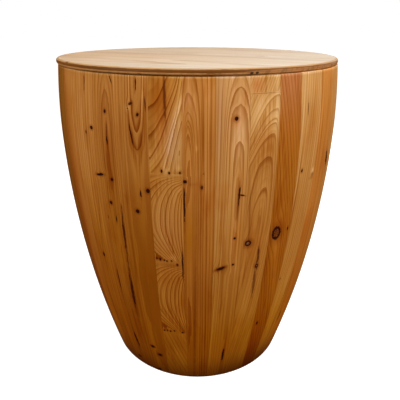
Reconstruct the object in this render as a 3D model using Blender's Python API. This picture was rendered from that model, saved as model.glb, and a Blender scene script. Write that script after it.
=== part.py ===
"""Lidded drum table: a tapering ring of solid-wood staves, turned outside, under a loose plank lid.

The drum stands on the stave ends with its axis on Z and the floor at Z = 0.  Its front faces -Y.
The staves are straight and flat inside, so the hollow is a faceted cone that is narrowest at the foot,
and the bottom boards drop in from above and wedge there.  The lid lies loose on the rim.  Two battens,
screwed up into its planks, keep it flat and stop it from sliding off.
"""

import math

import bmesh
import bpy
from mathutils import Vector

# Drum, in metres
DRUM_HEIGHT = 0.5317
FOOT_RADIUS = 0.166
BELLY_RADIUS = 0.230
BELLY_HEIGHT = 0.430
RIM_RADIUS = 0.224
WALL_AT_FOOT = 0.020
WALL_AT_RIM = 0.020
FOOT_ARRIS = 0.002
RIM_ARRIS = 0.0012

# How quickly the side falls away from the belly, as powers of the distance from it
CURVE_BELOW_BELLY = 1.9
CURVE_ABOVE_BELLY = 2.0

# Staves
STAVE_COUNT = 34
FRONT_SEAM_ANGLE = math.radians(-4.9)
STAVE_RINGS = 14

# Bottom boards
BOTTOM_HEIGHT = 0.010
BOTTOM_THICKNESS = 0.012
BOTTOM_BOARD_COUNT = 4

# Lid
LID_OVERHANG = 0.001
LID_THICKNESS = 0.008
LID_EDGE_ROUND = 0.0034
LID_EDGE_STEPS = 3
LID_SEGMENTS = 72
LID_SIDEWAYS = -0.0012
LID_GRAIN_ANGLE = math.radians(-26.0)
PLANK_COUNT = 5
MIDDLE_PLANK_OFFSET = 0.010

# Battens under the lid
BATTEN_WIDTH = 0.030
BATTEN_THICKNESS = 0.016
BATTEN_SPACING = 0.170
BATTEN_ARRIS = 0.0015
MOUTH_CLEARANCE = 0.005

# Countersunk wood screws
SCREW_SHANK_RADIUS = 0.0016
SCREW_HEAD_RADIUS = 0.0034
SCREW_TIP_LENGTH = 0.0025
SCREW_BITE = 0.0055
SCREW_SEGMENTS = 12
SCREW_SUNK = 0.0003

# Clearances
GLUE_LINE = 0.0003
FIT_GAP = 0.0003

# What follows from these: half a stave's angle, the lid's outline and planks, where its underside lies,
# and how far a batten hangs below that
HALF_STAVE = math.pi / STAVE_COUNT
LID_RADIUS = RIM_RADIUS + LID_OVERHANG
PLANK_WIDTH = 2 * LID_RADIUS / PLANK_COUNT
LID_SEAT_HEIGHT = DRUM_HEIGHT + FIT_GAP
BATTEN_DROP = FIT_GAP + BATTEN_THICKNESS


def clear_scene():
    """Remove everything that the opened file holds."""
    for item in list(bpy.data.objects):
        bpy.data.objects.remove(item, do_unlink=True)


def make_material(name, colour, roughness, metallic=0.0):
    """Return a plain Principled material."""
    material = bpy.data.materials.new(name)
    material.use_nodes = True
    shader = material.node_tree.nodes["Principled BSDF"]
    shader.inputs["Base Color"].default_value = (*colour, 1.0)
    shader.inputs["Roughness"].default_value = roughness
    shader.inputs["Metallic"].default_value = metallic
    return material


def make_empty(name, location, turn):
    """Return an empty that carries pieces, turned about Z."""
    empty = bpy.data.objects.new(name, None)
    empty.location = location
    empty.rotation_euler = (0.0, 0.0, turn)
    bpy.context.scene.collection.objects.link(empty)
    return empty


def make_object(name, mesh, parent, location=(0.0, 0.0, 0.0), turn=0.0):
    """Place a mesh as a named object under its carrier."""
    item = bpy.data.objects.new(name, mesh)
    item.parent = parent
    item.location = location
    item.rotation_euler = (0.0, 0.0, turn)
    bpy.context.scene.collection.objects.link(item)
    return item


def finish_mesh(name, shape, material, sharp_angle=math.radians(30.0)):
    """Turn a bmesh into a mesh with outward faces, smooth across shallow edges."""
    bmesh.ops.recalc_face_normals(shape, faces=shape.faces[:])
    mesh = bpy.data.meshes.new(name)
    shape.to_mesh(mesh)
    shape.free()
    mesh.materials.append(material)
    mesh.shade_smooth()
    mesh.set_sharp_from_angle(angle=sharp_angle)
    return mesh


def outer_radius(height):
    """Radius of the turned outside, without the arrises."""
    if height <= BELLY_HEIGHT:
        below = (BELLY_HEIGHT - height) / BELLY_HEIGHT
        return BELLY_RADIUS - (BELLY_RADIUS - FOOT_RADIUS) * below ** CURVE_BELOW_BELLY
    above = (height - BELLY_HEIGHT) / (DRUM_HEIGHT - BELLY_HEIGHT)
    return BELLY_RADIUS - (BELLY_RADIUS - RIM_RADIUS) * above ** CURVE_ABOVE_BELLY


def inner_distance(height):
    """Distance from the axis to a stave's flat inner face."""
    foot = outer_radius(0.0) - WALL_AT_FOOT
    rim = outer_radius(DRUM_HEIGHT) - WALL_AT_RIM
    return foot + (rim - foot) * height / DRUM_HEIGHT


def stave_profile():
    """Return the outside as (height, radius) from foot to rim, with both arrises taken off."""
    low = FOOT_ARRIS
    high = DRUM_HEIGHT - RIM_ARRIS
    profile = [(0.0, outer_radius(0.0) - FOOT_ARRIS)]
    for ring in range(STAVE_RINGS):
        height = low + (high - low) * ring / (STAVE_RINGS - 1)
        profile.append((height, outer_radius(height)))
    profile.append((DRUM_HEIGHT, outer_radius(DRUM_HEIGHT) - RIM_ARRIS))
    return profile


def stave_mesh(material):
    """One stave, with its middle on +X: two outer facets, one flat inner face and radial sides."""
    shape = bmesh.new()
    half_gap = GLUE_LINE / 2

    def outer_corner(radius, height, side):
        reach = 1.0 - half_gap / (radius * math.sin(HALF_STAVE))
        x = radius + reach * (radius * math.cos(HALF_STAVE) - radius)
        return shape.verts.new((x, side * reach * radius * math.sin(HALF_STAVE), height))

    def inner_corner(height, side):
        x = inner_distance(height)
        return shape.verts.new((x, side * (x * math.tan(HALF_STAVE) - half_gap / math.cos(HALF_STAVE)), height))

    profile = stave_profile()
    right = [outer_corner(radius, height, -1) for height, radius in profile]
    middle = [shape.verts.new((radius, 0.0, height)) for height, radius in profile]
    left = [outer_corner(radius, height, 1) for height, radius in profile]
    inner_right = [inner_corner(0.0, -1), inner_corner(DRUM_HEIGHT, -1)]
    inner_left = [inner_corner(0.0, 1), inner_corner(DRUM_HEIGHT, 1)]

    for low in range(len(profile) - 1):
        shape.faces.new((right[low], middle[low], middle[low + 1], right[low + 1]))
        shape.faces.new((middle[low], left[low], left[low + 1], middle[low + 1]))
    shape.faces.new((inner_left[0], inner_right[0], inner_right[1], inner_left[1]))
    shape.faces.new(right[::-1] + inner_right)
    shape.faces.new(left + inner_left[::-1])
    shape.faces.new((right[0], inner_right[0], inner_left[0], left[0], middle[0]))
    shape.faces.new((right[-1], middle[-1], left[-1], inner_left[-1], inner_right[-1]))
    return finish_mesh("stave", shape, material)


def add_staves(drum, material):
    """Set the staves round the axis, counted from the front towards +X."""
    mesh = stave_mesh(material)
    for index in range(STAVE_COUNT):
        from_front = FRONT_SEAM_ANGLE + (2 * index + 1) * HALF_STAVE
        make_object(f"stave_{index + 1:02d}", mesh, drum, turn=from_front - math.pi / 2)


def turned_solid(profile, segments, first_angle=0.0):
    """Return a closed bmesh turned about Z from (radius, height) points, with flat ends."""
    shape = bmesh.new()
    rings = []
    for radius, height in profile:
        ring = []
        for step in range(segments):
            angle = first_angle + 2 * math.pi * step / segments
            ring.append(shape.verts.new((radius * math.cos(angle), radius * math.sin(angle), height)))
        rings.append(ring)
    for upper, lower in zip(rings, rings[1:]):
        for step in range(segments):
            after = (step + 1) % segments
            shape.faces.new((upper[step], lower[step], lower[after], upper[after]))
    shape.faces.new(rings[0])
    shape.faces.new(rings[-1][::-1])
    return shape


def cut_away(shape, position, across):
    """Cut a closed bmesh at a plane square to Y and close it; across is the side that goes, 1 or -1."""
    everything = shape.verts[:] + shape.edges[:] + shape.faces[:]
    bmesh.ops.bisect_plane(
        shape,
        geom=everything,
        dist=1e-7,
        plane_co=(0.0, position, 0.0),
        plane_no=(0.0, across, 0.0),
        clear_outer=True,
    )
    open_edges = [edge for edge in shape.edges if edge.is_boundary]
    bmesh.ops.holes_fill(shape, edges=open_edges, sides=0)


def cut_board(shape, low, high):
    """Keep the strip of a bmesh between two glue lines; None leaves the round edge."""
    if low is not None:
        cut_away(shape, low + GLUE_LINE / 2, -1)
    if high is not None:
        cut_away(shape, high - GLUE_LINE / 2, 1)
    return shape


def add_bottom(drum, material):
    """Bottom boards with an edge that follows the flat inner faces of the staves."""
    top = BOTTOM_HEIGHT + BOTTOM_THICKNESS
    to_corner = 1.0 / math.cos(HALF_STAVE)
    profile = [
        ((inner_distance(top) - FIT_GAP) * to_corner, top),
        ((inner_distance(BOTTOM_HEIGHT) - FIT_GAP) * to_corner, BOTTOM_HEIGHT),
    ]
    first_corner = FRONT_SEAM_ANGLE - math.pi / 2
    width = 2 * profile[0][0] / BOTTOM_BOARD_COUNT
    for index in range(BOTTOM_BOARD_COUNT):
        low = -profile[0][0] + index * width
        shape = turned_solid(profile, STAVE_COUNT, first_corner)
        last = BOTTOM_BOARD_COUNT - 1
        cut_board(shape, low if index > 0 else None, low + width if index < last else None)
        make_object(f"bottom_board_{index + 1}", finish_mesh("bottom_board", shape, material), drum)


def plank_seams():
    """Return the low and high side of each lid plank across the grain, None at the round edge."""
    first = MIDDLE_PLANK_OFFSET - PLANK_COUNT * PLANK_WIDTH / 2
    lines = [first + index * PLANK_WIDTH for index in range(PLANK_COUNT + 1)]
    lines[0] = None
    lines[-1] = None
    return list(zip(lines, lines[1:]))


def lid_profile():
    """Return the lid's section at its edge: flat faces joined by a rounded rim."""
    profile = []
    for step in range(LID_EDGE_STEPS + 1):
        angle = math.pi / 2 * step / LID_EDGE_STEPS
        radius = LID_RADIUS - LID_EDGE_ROUND * (1.0 - math.sin(angle))
        profile.append((radius, LID_THICKNESS - LID_EDGE_ROUND * (1.0 - math.cos(angle))))
    return profile + [(radius, LID_THICKNESS - height) for radius, height in reversed(profile)]


def batten_half_length():
    """Half a batten's length: its outer corners stay clear of the mouth, wherever the lid lies."""
    mouth = inner_distance(LID_SEAT_HEIGHT - BATTEN_DROP) - MOUTH_CLEARANCE - abs(LID_SIDEWAYS)
    outer_side = (BATTEN_SPACING + BATTEN_WIDTH) / 2
    return math.sqrt(mouth ** 2 - outer_side ** 2)


def screw_places():
    """Return each screw's place in the lid: one where each batten crosses each plank."""
    reach = batten_half_length()
    places = []
    for side in (-1, 1):
        for low, high in plank_seams():
            start = -reach if low is None else low
            end = reach if high is None else high
            places.append((side * BATTEN_SPACING / 2, (start + end) / 2))
    return places


def screw_profile(spare=0.0):
    """Return a countersunk screw from tip to head, grown by spare for its hole."""
    head_face = -BATTEN_DROP + SCREW_SUNK
    shank = SCREW_SHANK_RADIUS + spare
    tip = SCREW_BITE + spare
    return [
        (shank / 4, tip),
        (shank, tip - SCREW_TIP_LENGTH),
        (shank, head_face + SCREW_HEAD_RADIUS - SCREW_SHANK_RADIUS),
        (SCREW_HEAD_RADIUS + spare, head_face),
    ]


def screw_hole_profile():
    """Return a screw's hole, which runs out past the batten's underside."""
    profile = screw_profile(FIT_GAP)
    mouth_radius = profile[-1][0]
    return profile + [(mouth_radius, -BATTEN_DROP - SCREW_SUNK)]


def screw_hole_cutter(lid, material):
    """One hidden cutter with a hole for every screw, in the lid's own frame."""
    shape = bmesh.new()
    for x, y in screw_places():
        hole = turned_solid(screw_hole_profile(), SCREW_SEGMENTS)
        bmesh.ops.translate(hole, verts=hole.verts[:], vec=Vector((x, y, 0.0)))
        part = bpy.data.meshes.new("screw_hole")
        hole.to_mesh(part)
        hole.free()
        shape.from_mesh(part)
        bpy.data.meshes.remove(part)
    cutter = make_object("screw_hole_cutter", finish_mesh("screw_holes", shape, material), lid)
    cutter.hide_render = True
    cutter.display_type = "WIRE"
    return cutter


def cut_screw_holes(item, cutter):
    """Take the screw holes out of a plank or batten."""
    holes = item.modifiers.new("screw_holes", "BOOLEAN")
    holes.operation = "DIFFERENCE"
    holes.solver = "EXACT"
    holes.object = cutter


def add_planks(lid, material, cutter):
    """Edge-glued planks cut to the lid's round outline."""
    for index, (low, high) in enumerate(plank_seams()):
        shape = cut_board(turned_solid(lid_profile(), LID_SEGMENTS), low, high)
        plank = make_object(f"lid_plank_{index + 1}", finish_mesh("lid_plank", shape, material), lid)
        cut_screw_holes(plank, cutter)


def add_battens(lid, material, cutter):
    """Two bars across the planks, with their lower edges eased."""
    half_length = batten_half_length()
    half_width = BATTEN_WIDTH / 2
    for index, side in enumerate((-1, 1)):
        shape = bmesh.new()
        bmesh.ops.create_cube(shape, size=1.0)
        for vert in shape.verts:
            vert.co.x = side * BATTEN_SPACING / 2 + math.copysign(half_width, vert.co.x)
            vert.co.y = math.copysign(half_length, vert.co.y)
            vert.co.z = -FIT_GAP if vert.co.z > 0 else -BATTEN_DROP
        lower_edges = [edge for edge in shape.edges if all(vert.co.z == -BATTEN_DROP for vert in edge.verts)]
        bmesh.ops.bevel(shape, geom=lower_edges, offset=BATTEN_ARRIS, segments=1, affect="EDGES")
        batten = make_object(f"lid_batten_{index + 1}", finish_mesh("lid_batten", shape, material), lid)
        cut_screw_holes(batten, cutter)


def add_screws(lid, material):
    """Countersunk screws that hold the battens to the planks."""
    mesh = finish_mesh("lid_screw", turned_solid(screw_profile(), SCREW_SEGMENTS), material)
    for index, (x, y) in enumerate(screw_places()):
        make_object(f"lid_screw_{index + 1:02d}", mesh, lid, location=(x, y, 0.0))


def main():
    """Build the drum and its lid."""
    clear_scene()
    stave_wood = make_material("stave_wood", (0.46, 0.21, 0.06), 0.42)
    lid_wood = make_material("lid_wood", (0.68, 0.47, 0.27), 0.45)
    inner_wood = make_material("inner_wood", (0.58, 0.38, 0.20), 0.60)
    screw_steel = make_material("screw_steel", (0.62, 0.60, 0.55), 0.35, 1.0)

    drum = make_empty("drum", (0.0, 0.0, 0.0), 0.0)
    add_staves(drum, stave_wood)
    add_bottom(drum, inner_wood)

    lid = make_empty("lid", (LID_SIDEWAYS, 0.0, LID_SEAT_HEIGHT), LID_GRAIN_ANGLE)
    cutter = screw_hole_cutter(lid, screw_steel)
    add_planks(lid, lid_wood, cutter)
    add_battens(lid, inner_wood, cutter)
    add_screws(lid, screw_steel)


main()
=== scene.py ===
"""Lidded drum table: a ring of turned staves with a loose plank lid, dressed over its fixed frame.

The drum's staves come from one Geometry Nodes tree. Each board then gets its own figure: a growth value that
counts the tree's rings at every point, bent round its knots, which the wood materials turn into grain.
"""
import math
import random
from dataclasses import dataclass, field, replace

import bmesh
import bpy
import numpy as np
from bpy.props import FloatProperty, FloatVectorProperty, IntProperty, PointerProperty
from mathutils import Euler, Matrix, Vector


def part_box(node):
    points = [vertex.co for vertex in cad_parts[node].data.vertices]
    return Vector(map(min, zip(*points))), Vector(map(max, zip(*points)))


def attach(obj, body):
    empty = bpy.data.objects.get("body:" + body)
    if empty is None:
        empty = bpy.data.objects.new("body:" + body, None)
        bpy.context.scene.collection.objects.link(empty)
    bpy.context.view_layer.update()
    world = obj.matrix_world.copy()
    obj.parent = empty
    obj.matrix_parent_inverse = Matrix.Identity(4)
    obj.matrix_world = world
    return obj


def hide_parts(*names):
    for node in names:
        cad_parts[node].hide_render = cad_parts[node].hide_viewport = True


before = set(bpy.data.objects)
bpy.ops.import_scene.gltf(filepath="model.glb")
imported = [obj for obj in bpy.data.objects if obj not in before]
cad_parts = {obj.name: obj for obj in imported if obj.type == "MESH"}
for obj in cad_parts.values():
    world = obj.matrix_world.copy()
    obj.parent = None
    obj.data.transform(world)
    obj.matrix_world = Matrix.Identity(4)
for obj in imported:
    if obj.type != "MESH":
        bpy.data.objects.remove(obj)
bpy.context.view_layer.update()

bl_info = {
    "name": "Lidded Drum Table",
    "version": (1, 0, 0),
    "blender": (4, 5, 0),
    "location": "View3D > Sidebar > Drum Table",
    "description": "Builds a stave drum table with a loose plank lid",
    "category": "Object",
}

# Names that the pieces share with the frame.
DRUM = "drum"
LID = "lid"

# Attributes that a board's mesh carries to its material.
GRAIN = "grain"
GROWTH = "growth"
TONE = "tone"
RAW = "raw"
RIM = "rim"
BOLD = "bold"
PITCH = "pitch"
MARKS = ("mark_a", "mark_b")
MARK_LOOKS = ("mark_look_a", "mark_look_b")

MM = 0.001
SHARP_ANGLE = math.radians(35.0)
FAR_AWAY = 50.0


def low_of(node):
    """Height of a frame node's lowest corner."""
    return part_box(node)[0].z


def top_of(node):
    """Height of a frame node's highest corner."""
    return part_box(node)[1].z


def tall(node):
    """Height of a frame node from its lowest to its highest corner."""
    return top_of(node) - low_of(node)


def number_prop(name, description, default, **kind):
    """A number, with its name and meaning and any unit."""
    return FloatProperty(name=name, description=description, default=default, **kind)


def length_prop(name, description, default):
    """A size in metres."""
    return number_prop(name, description, default, unit="LENGTH", precision=4)


def angle_prop(name, description, default):
    """An angle in radians."""
    return number_prop(name, description, default, subtype="ANGLE")


def power_prop(name, description, default):
    """A light's power in watts."""
    return number_prop(name, description, default, unit="POWER")


def colour_prop(name, description, default):
    """A linear colour, with its name and meaning."""
    return FloatVectorProperty(
        name=name, description=description, default=default, subtype="COLOR", size=3, min=0.0, max=1.0
    )


class DrumSizes(bpy.types.PropertyGroup):
    """Sizes of the turned drum and its bottom."""

    height: length_prop("Height", "Height of the staves", top_of("stave_01"))
    foot_radius: length_prop("Foot radius", "Outer radius at the floor", 0.166)
    belly_radius: length_prop("Belly radius", "Outer radius at the widest place", 0.230)
    belly_height: length_prop("Belly height", "Height of the widest place", 0.430)
    rim_radius: length_prop("Rim radius", "Outer radius at the top", 0.224)
    curve_below: number_prop("Curve below", "Power of the curve below the belly", 1.9)
    curve_above: number_prop("Curve above", "Power of the curve above the belly", 2.0)
    wall: length_prop("Wall", "Wall at the foot and at the rim", 0.020)
    foot_arris: length_prop("Foot arris", "Rounding of the lower edge", 0.002)
    rim_arris: length_prop("Rim arris", "Rounding of the upper edge", 0.0012)
    glue_line: length_prop("Glue line", "Gap between two staves", 0.00012)
    staves: IntProperty(name="Staves", description="Number of staves", default=34)
    first_seam: angle_prop("First seam", "Angle from the front to the first seam", math.radians(-4.9))
    bottom_boards: IntProperty(name="Bottom boards", description="Number of bottom boards", default=4)
    bottom_gap: length_prop("Bottom gap", "Clearance round the bottom boards", 0.0005)
    bottom_arris: length_prop("Bottom arris", "Slant on the bottom's edges", 0.0006)


class LidSizes(bpy.types.PropertyGroup):
    """Sizes of the lid, its battens and its screws."""

    radius: length_prop("Radius", "Radius of the lid", 0.225)
    seat: length_prop("Seat", "Height of the lid's underside", low_of("lid_plank_3"))
    thickness: length_prop("Thickness", "Thickness of the planks", tall("lid_plank_3"))
    edge_round: length_prop("Edge rounding", "Radius of the rounded rim", 0.0034)
    sideways: length_prop("Sideways", "How far the loose lid lies off the axis", -0.0012)
    grain_angle: angle_prop("Grain angle", "Direction of the planks", math.radians(-26.0))
    planks: IntProperty(name="Planks", description="Number of planks", default=5)
    middle_offset: length_prop("Middle offset", "How far the middle plank lies off the centre", 0.010)
    glue_line: length_prop("Glue line", "Gap between two planks", 0.00012)
    batten_width: length_prop("Batten width", "Width of a batten", 0.030)
    batten_depth: length_prop("Batten depth", "Thickness of a batten", 0.016)
    batten_spacing: length_prop("Batten spacing", "Distance between the battens", 0.170)
    batten_length: length_prop("Batten length", "Length of a batten", 0.336)
    batten_arris: length_prop("Batten arris", "Rounding of a batten's edges", 0.0015)
    batten_gap: length_prop("Batten gap", "Gap between planks and battens", 0.0003)
    screw_head: length_prop("Screw head", "Radius of a screw's head", 0.0034)
    screw_shank: length_prop("Screw shank", "Radius of a screw's shank", 0.0016)
    screw_length: length_prop("Screw length", "Length of a screw", 0.0212)
    screw_tip: length_prop("Screw tip", "Length of a screw's pointed end", 0.0025)
    screw_sunk: length_prop("Screw sunk", "How deep a head lies under the batten's face", 0.0003)
    screw_hole: length_prop("Screw hole", "Clearance round a screw", 0.0002)
    slot_width: length_prop("Slot width", "Width of the cross slot in a head", 0.0009)
    slot_depth: length_prop("Slot depth", "Depth of the cross slot in a head", 0.0013)


class WoodColours(bpy.types.PropertyGroup):
    """Colours of the finishes."""

    honey: colour_prop("Honey", "Common stave", (0.470, 0.180, 0.034))
    straw: colour_prop("Straw", "Pale stave", (0.560, 0.262, 0.070))
    amber: colour_prop("Amber", "Orange stave", (0.465, 0.164, 0.017))
    red: colour_prop("Red", "Reddish stave", (0.45, 0.155, 0.034))
    curly: colour_prop("Curly", "Pale orange stave with a curly figure", (0.500, 0.215, 0.040))
    brown: colour_prop("Brown", "Dark stave", (0.38, 0.140, 0.018))
    # Low is painted shade: it darkens and saturates the staves towards the foot, where the surface turns away
    # from the light.
    low: colour_prop("Low", "Tint that the staves take towards the foot", (0.84, 0.56, 0.09))
    late_wood: colour_prop("Late wood", "Tint of the dark part of a ring", (0.56, 0.32, 0.08))
    knot: colour_prop("Knot", "Dead knots and open checks", (0.022, 0.003, 0.002))
    knot_heart: colour_prop("Knot heart", "Middle of a ringed knot", (0.50, 0.42, 0.60))
    lid: colour_prop("Lid", "Pale lid planks", (0.62, 0.430, 0.270))
    raw: colour_prop("Raw", "Unfinished wood inside", (0.62, 0.400, 0.215))
    steel: colour_prop("Steel", "Zinc-plated screws", (0.60, 0.580, 0.530))
    dull_steel: colour_prop("Dull steel", "Dull spots on the screws", (0.30, 0.27, 0.22))
    floor: colour_prop("Floor", "Studio floor", (0.40, 0.398, 0.392))
    floor_cloud: colour_prop("Floor cloud", "Faint clouds on the floor", (0.44, 0.44, 0.435))


class StageSettings(bpy.types.PropertyGroup):
    """Camera and light of the studio."""

    distance: length_prop("Distance", "Camera's distance in front of the axis", 0.73965)
    camera_height: length_prop("Camera height", "Camera's height above the floor", 0.5915)
    pitch: angle_prop("Pitch", "How far the camera looks down", 0.40204)
    roll: angle_prop("Roll", "How far the camera leans", 0.00226)
    lens: number_prop("Lens", "Focal length", 37.85, unit="CAMERA")
    shift: number_prop("Shift", "Sideways shift of the frame", 0.0061)
    floor_size: length_prop("Floor size", "Side of the floor", 30.0)
    top_light: power_prop("Top light", "Power of the overhead light", 25.0)
    key_light: power_prop("Key light", "Power of the light at the right", 30.0)
    fill_light: power_prop("Fill light", "Power of the light at the left", 25.0)
    back_light: power_prop("Back light", "Power of the light behind", 22.0)
    surroundings: number_prop("Surroundings", "Strength of the light all round", 0.30)


def arithmetic(operation, swapped=False):
    """A method of a wire that adds one Math node to its tree."""
    def step(wire, other):
        values = (other, wire) if swapped else (wire, other)
        return wire.sheet.math(operation, *values)
    return step


class Wire:
    """A node's output that plain arithmetic works on."""

    def __init__(self, sheet, socket):
        self.sheet = sheet
        self.socket = socket

    __add__ = arithmetic("ADD")
    __radd__ = arithmetic("ADD", swapped=True)
    __sub__ = arithmetic("SUBTRACT")
    __rsub__ = arithmetic("SUBTRACT", swapped=True)
    __mul__ = arithmetic("MULTIPLY")
    __rmul__ = arithmetic("MULTIPLY", swapped=True)
    __truediv__ = arithmetic("DIVIDE")
    __pow__ = arithmetic("POWER")


class NodeSheet:
    """Adds nodes to one tree and wires them."""

    def __init__(self, tree):
        self.tree = tree

    def plug(self, socket, value):
        """Link a wire to a socket, or set the socket's own value."""
        if isinstance(value, Wire):
            self.tree.links.new(value.socket, socket)
        else:
            socket.default_value = value

    def add(self, kind, inputs=None, **options):
        """Add one node with its options and inputs."""
        node = self.tree.nodes.new(kind)
        for name, value in options.items():
            setattr(node, name, value)
        for name, value in (inputs or {}).items():
            self.plug(node.inputs[name], value)
        return node

    def out(self, node, name=0):
        """One output of a node as a wire."""
        return Wire(self, node.outputs[name])

    def math(self, operation, *values, clamp=False):
        """One Math node."""
        inputs = dict(enumerate(values))
        return self.out(self.add("ShaderNodeMath", inputs, operation=operation, use_clamp=clamp))

    def clamp(self, value):
        """Keep a value between 0 and 1."""
        return self.math("ADD", value, 0.0, clamp=True)

    def ramp(self, value, low, high, start=0.0, end=1.0, kind="LINEAR"):
        """Take low..high to start..end, and hold the ends."""
        inputs = {0: value, 1: low, 2: high, 3: start, 4: end}
        return self.out(self.add("ShaderNodeMapRange", inputs, interpolation_type=kind))

    def smooth(self, value, low, high, start=0.0, end=1.0):
        """A ramp with soft ends."""
        return self.ramp(value, low, high, start, end, "SMOOTHSTEP")

    def parts(self, vector):
        """The three parts of a vector."""
        node = self.add("ShaderNodeSeparateXYZ", {0: vector})
        return self.out(node, 0), self.out(node, 1), self.out(node, 2)

    def vector(self, x, y, z):
        """A vector from three parts."""
        return self.out(self.add("ShaderNodeCombineXYZ", {0: x, 1: y, 2: z}))

    def mix(self, factor, first, second, blend="MIX"):
        """Blend two colours."""
        inputs = {0: factor, 6: first, 7: second}
        node = self.add("ShaderNodeMix", inputs, data_type="RGBA", blend_type=blend)
        return self.out(node, 2)

    def noise(self, vector, detail=2.0, roughness=0.5):
        """Smooth noise from 0 to 1 with features about one unit wide."""
        inputs = {"Vector": vector, "Scale": 1.0, "Detail": detail, "Roughness": roughness}
        return self.out(self.add("ShaderNodeTexNoise", inputs))

    def place(self):
        """Each point's place in its object."""
        return self.out(self.add("ShaderNodeTexCoord"), "Object")

    def attribute(self, name, output="Fac"):
        """One of the mesh's own attributes."""
        return self.out(self.add("ShaderNodeAttribute", attribute_name=name), output)


def rgba(colour):
    """A colour property with full cover."""
    return (colour[0], colour[1], colour[2], 1.0)


def settings():
    """The table's property groups."""
    return bpy.context.scene.drum_table


# Value in place of a pale heart that breaks up a mark's edge.
BROKEN_EDGE = -1.0


@dataclass
class Knot:
    """A knot in a board's face, in millimetres from the board's middle and the floor.

    Heart is how far its pale middle reaches, depth how dark it is and halo how strongly it stains the wood.
    """

    across: float
    up: float
    half_width: float
    half_height: float
    lean: float = 0.0
    heart: float = 0.0
    depth: float = 1.0
    halo: float = 1.0

    def mark(self):
        """Centre, half sizes and lean."""
        return (self.across, self.up), (self.half_width, self.half_height), self.lean


@dataclass
class Check:
    """A crack or dark streak from one place to another, in millimetres, with its half width and darkness."""

    start: tuple
    end: tuple
    half_width: float
    depth: float
    halo: float = 0.7
    heart: float = BROKEN_EDGE

    def mark(self):
        """Centre, half sizes and lean."""
        run = (self.end[0] - self.start[0], self.end[1] - self.start[1])
        centre = ((self.start[0] + self.end[0]) / 2, (self.start[1] + self.end[1]) / 2)
        return centre, (self.half_width, math.hypot(*run) / 2), math.atan2(run[0], -run[1])


@dataclass
class Wash:
    """A soft patch of another tint on a board, in millimetres."""

    tint: str
    across: float
    up: float
    half_width: float
    half_height: float
    strength: float
    lean: float = 0.0


# Tints that a wash multiplies a board's tone by.
TINTS = {
    "pale": (1.20, 1.34, 1.70),
    "cream": (1.40, 1.75, 2.60),
    "orange": (0.92, 0.68, 0.34),
    "red": (0.94, 0.66, 0.58),
    "rose": (1.04, 1.03, 2.5),
    "brown": (0.64, 0.47, 0.20),
    "olive": (0.93, 0.88, 0.38),
    "dark": (0.46, 0.29, 0.12),
    "streak": (0.80, 0.73, 0.68),
    # cool and warm also paint the sheen along the lid: paler and cooler towards its right, warmer and darker
    # towards its left.
    "cool": (0.98, 1.12, 1.30),
    "warm": (0.90, 0.85, 0.76),
}


def patches(**tints):
    """Washes by tint: each one's place across and up, half width, half height, strength and any lean."""
    return [Wash(tint, *patch) for tint, group in tints.items() for patch in group]


@dataclass
class Board:
    """What one board shows, in millimetres from its middle and the floor.

    Its rings lie round the tree's heart, with the count that comes out at each height. A board with arches
    has nested arches or cups instead, from the inmost outwards: apex, half width at the left and at the
    right, and how slowly each opens.
    """

    tone: str
    shade: float
    heart: float = 0.0
    heart_lean: float = 0.0
    left_ring: float = 3.0
    right_ring: float = 3.0
    left_bow: float = 0.0
    right_bow: float = 0.0
    rings: list = field(default_factory=lambda: [(0, 2.0), (532, 2.0)])
    arches: list = field(default_factory=list)
    cups: bool = False
    curly: bool = False
    block_from: float = 1000.0
    bold: float = 0.6
    bold_rings: dict = field(default_factory=dict)
    bold_from: float = -1000.0
    # gap: how strongly the shadow of the lid's gap is painted on the board's upper arris.
    gap: float = 0.0
    knots: list = field(default_factory=list)
    checks: list = field(default_factory=list)
    washes: list = field(default_factory=list)


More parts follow.
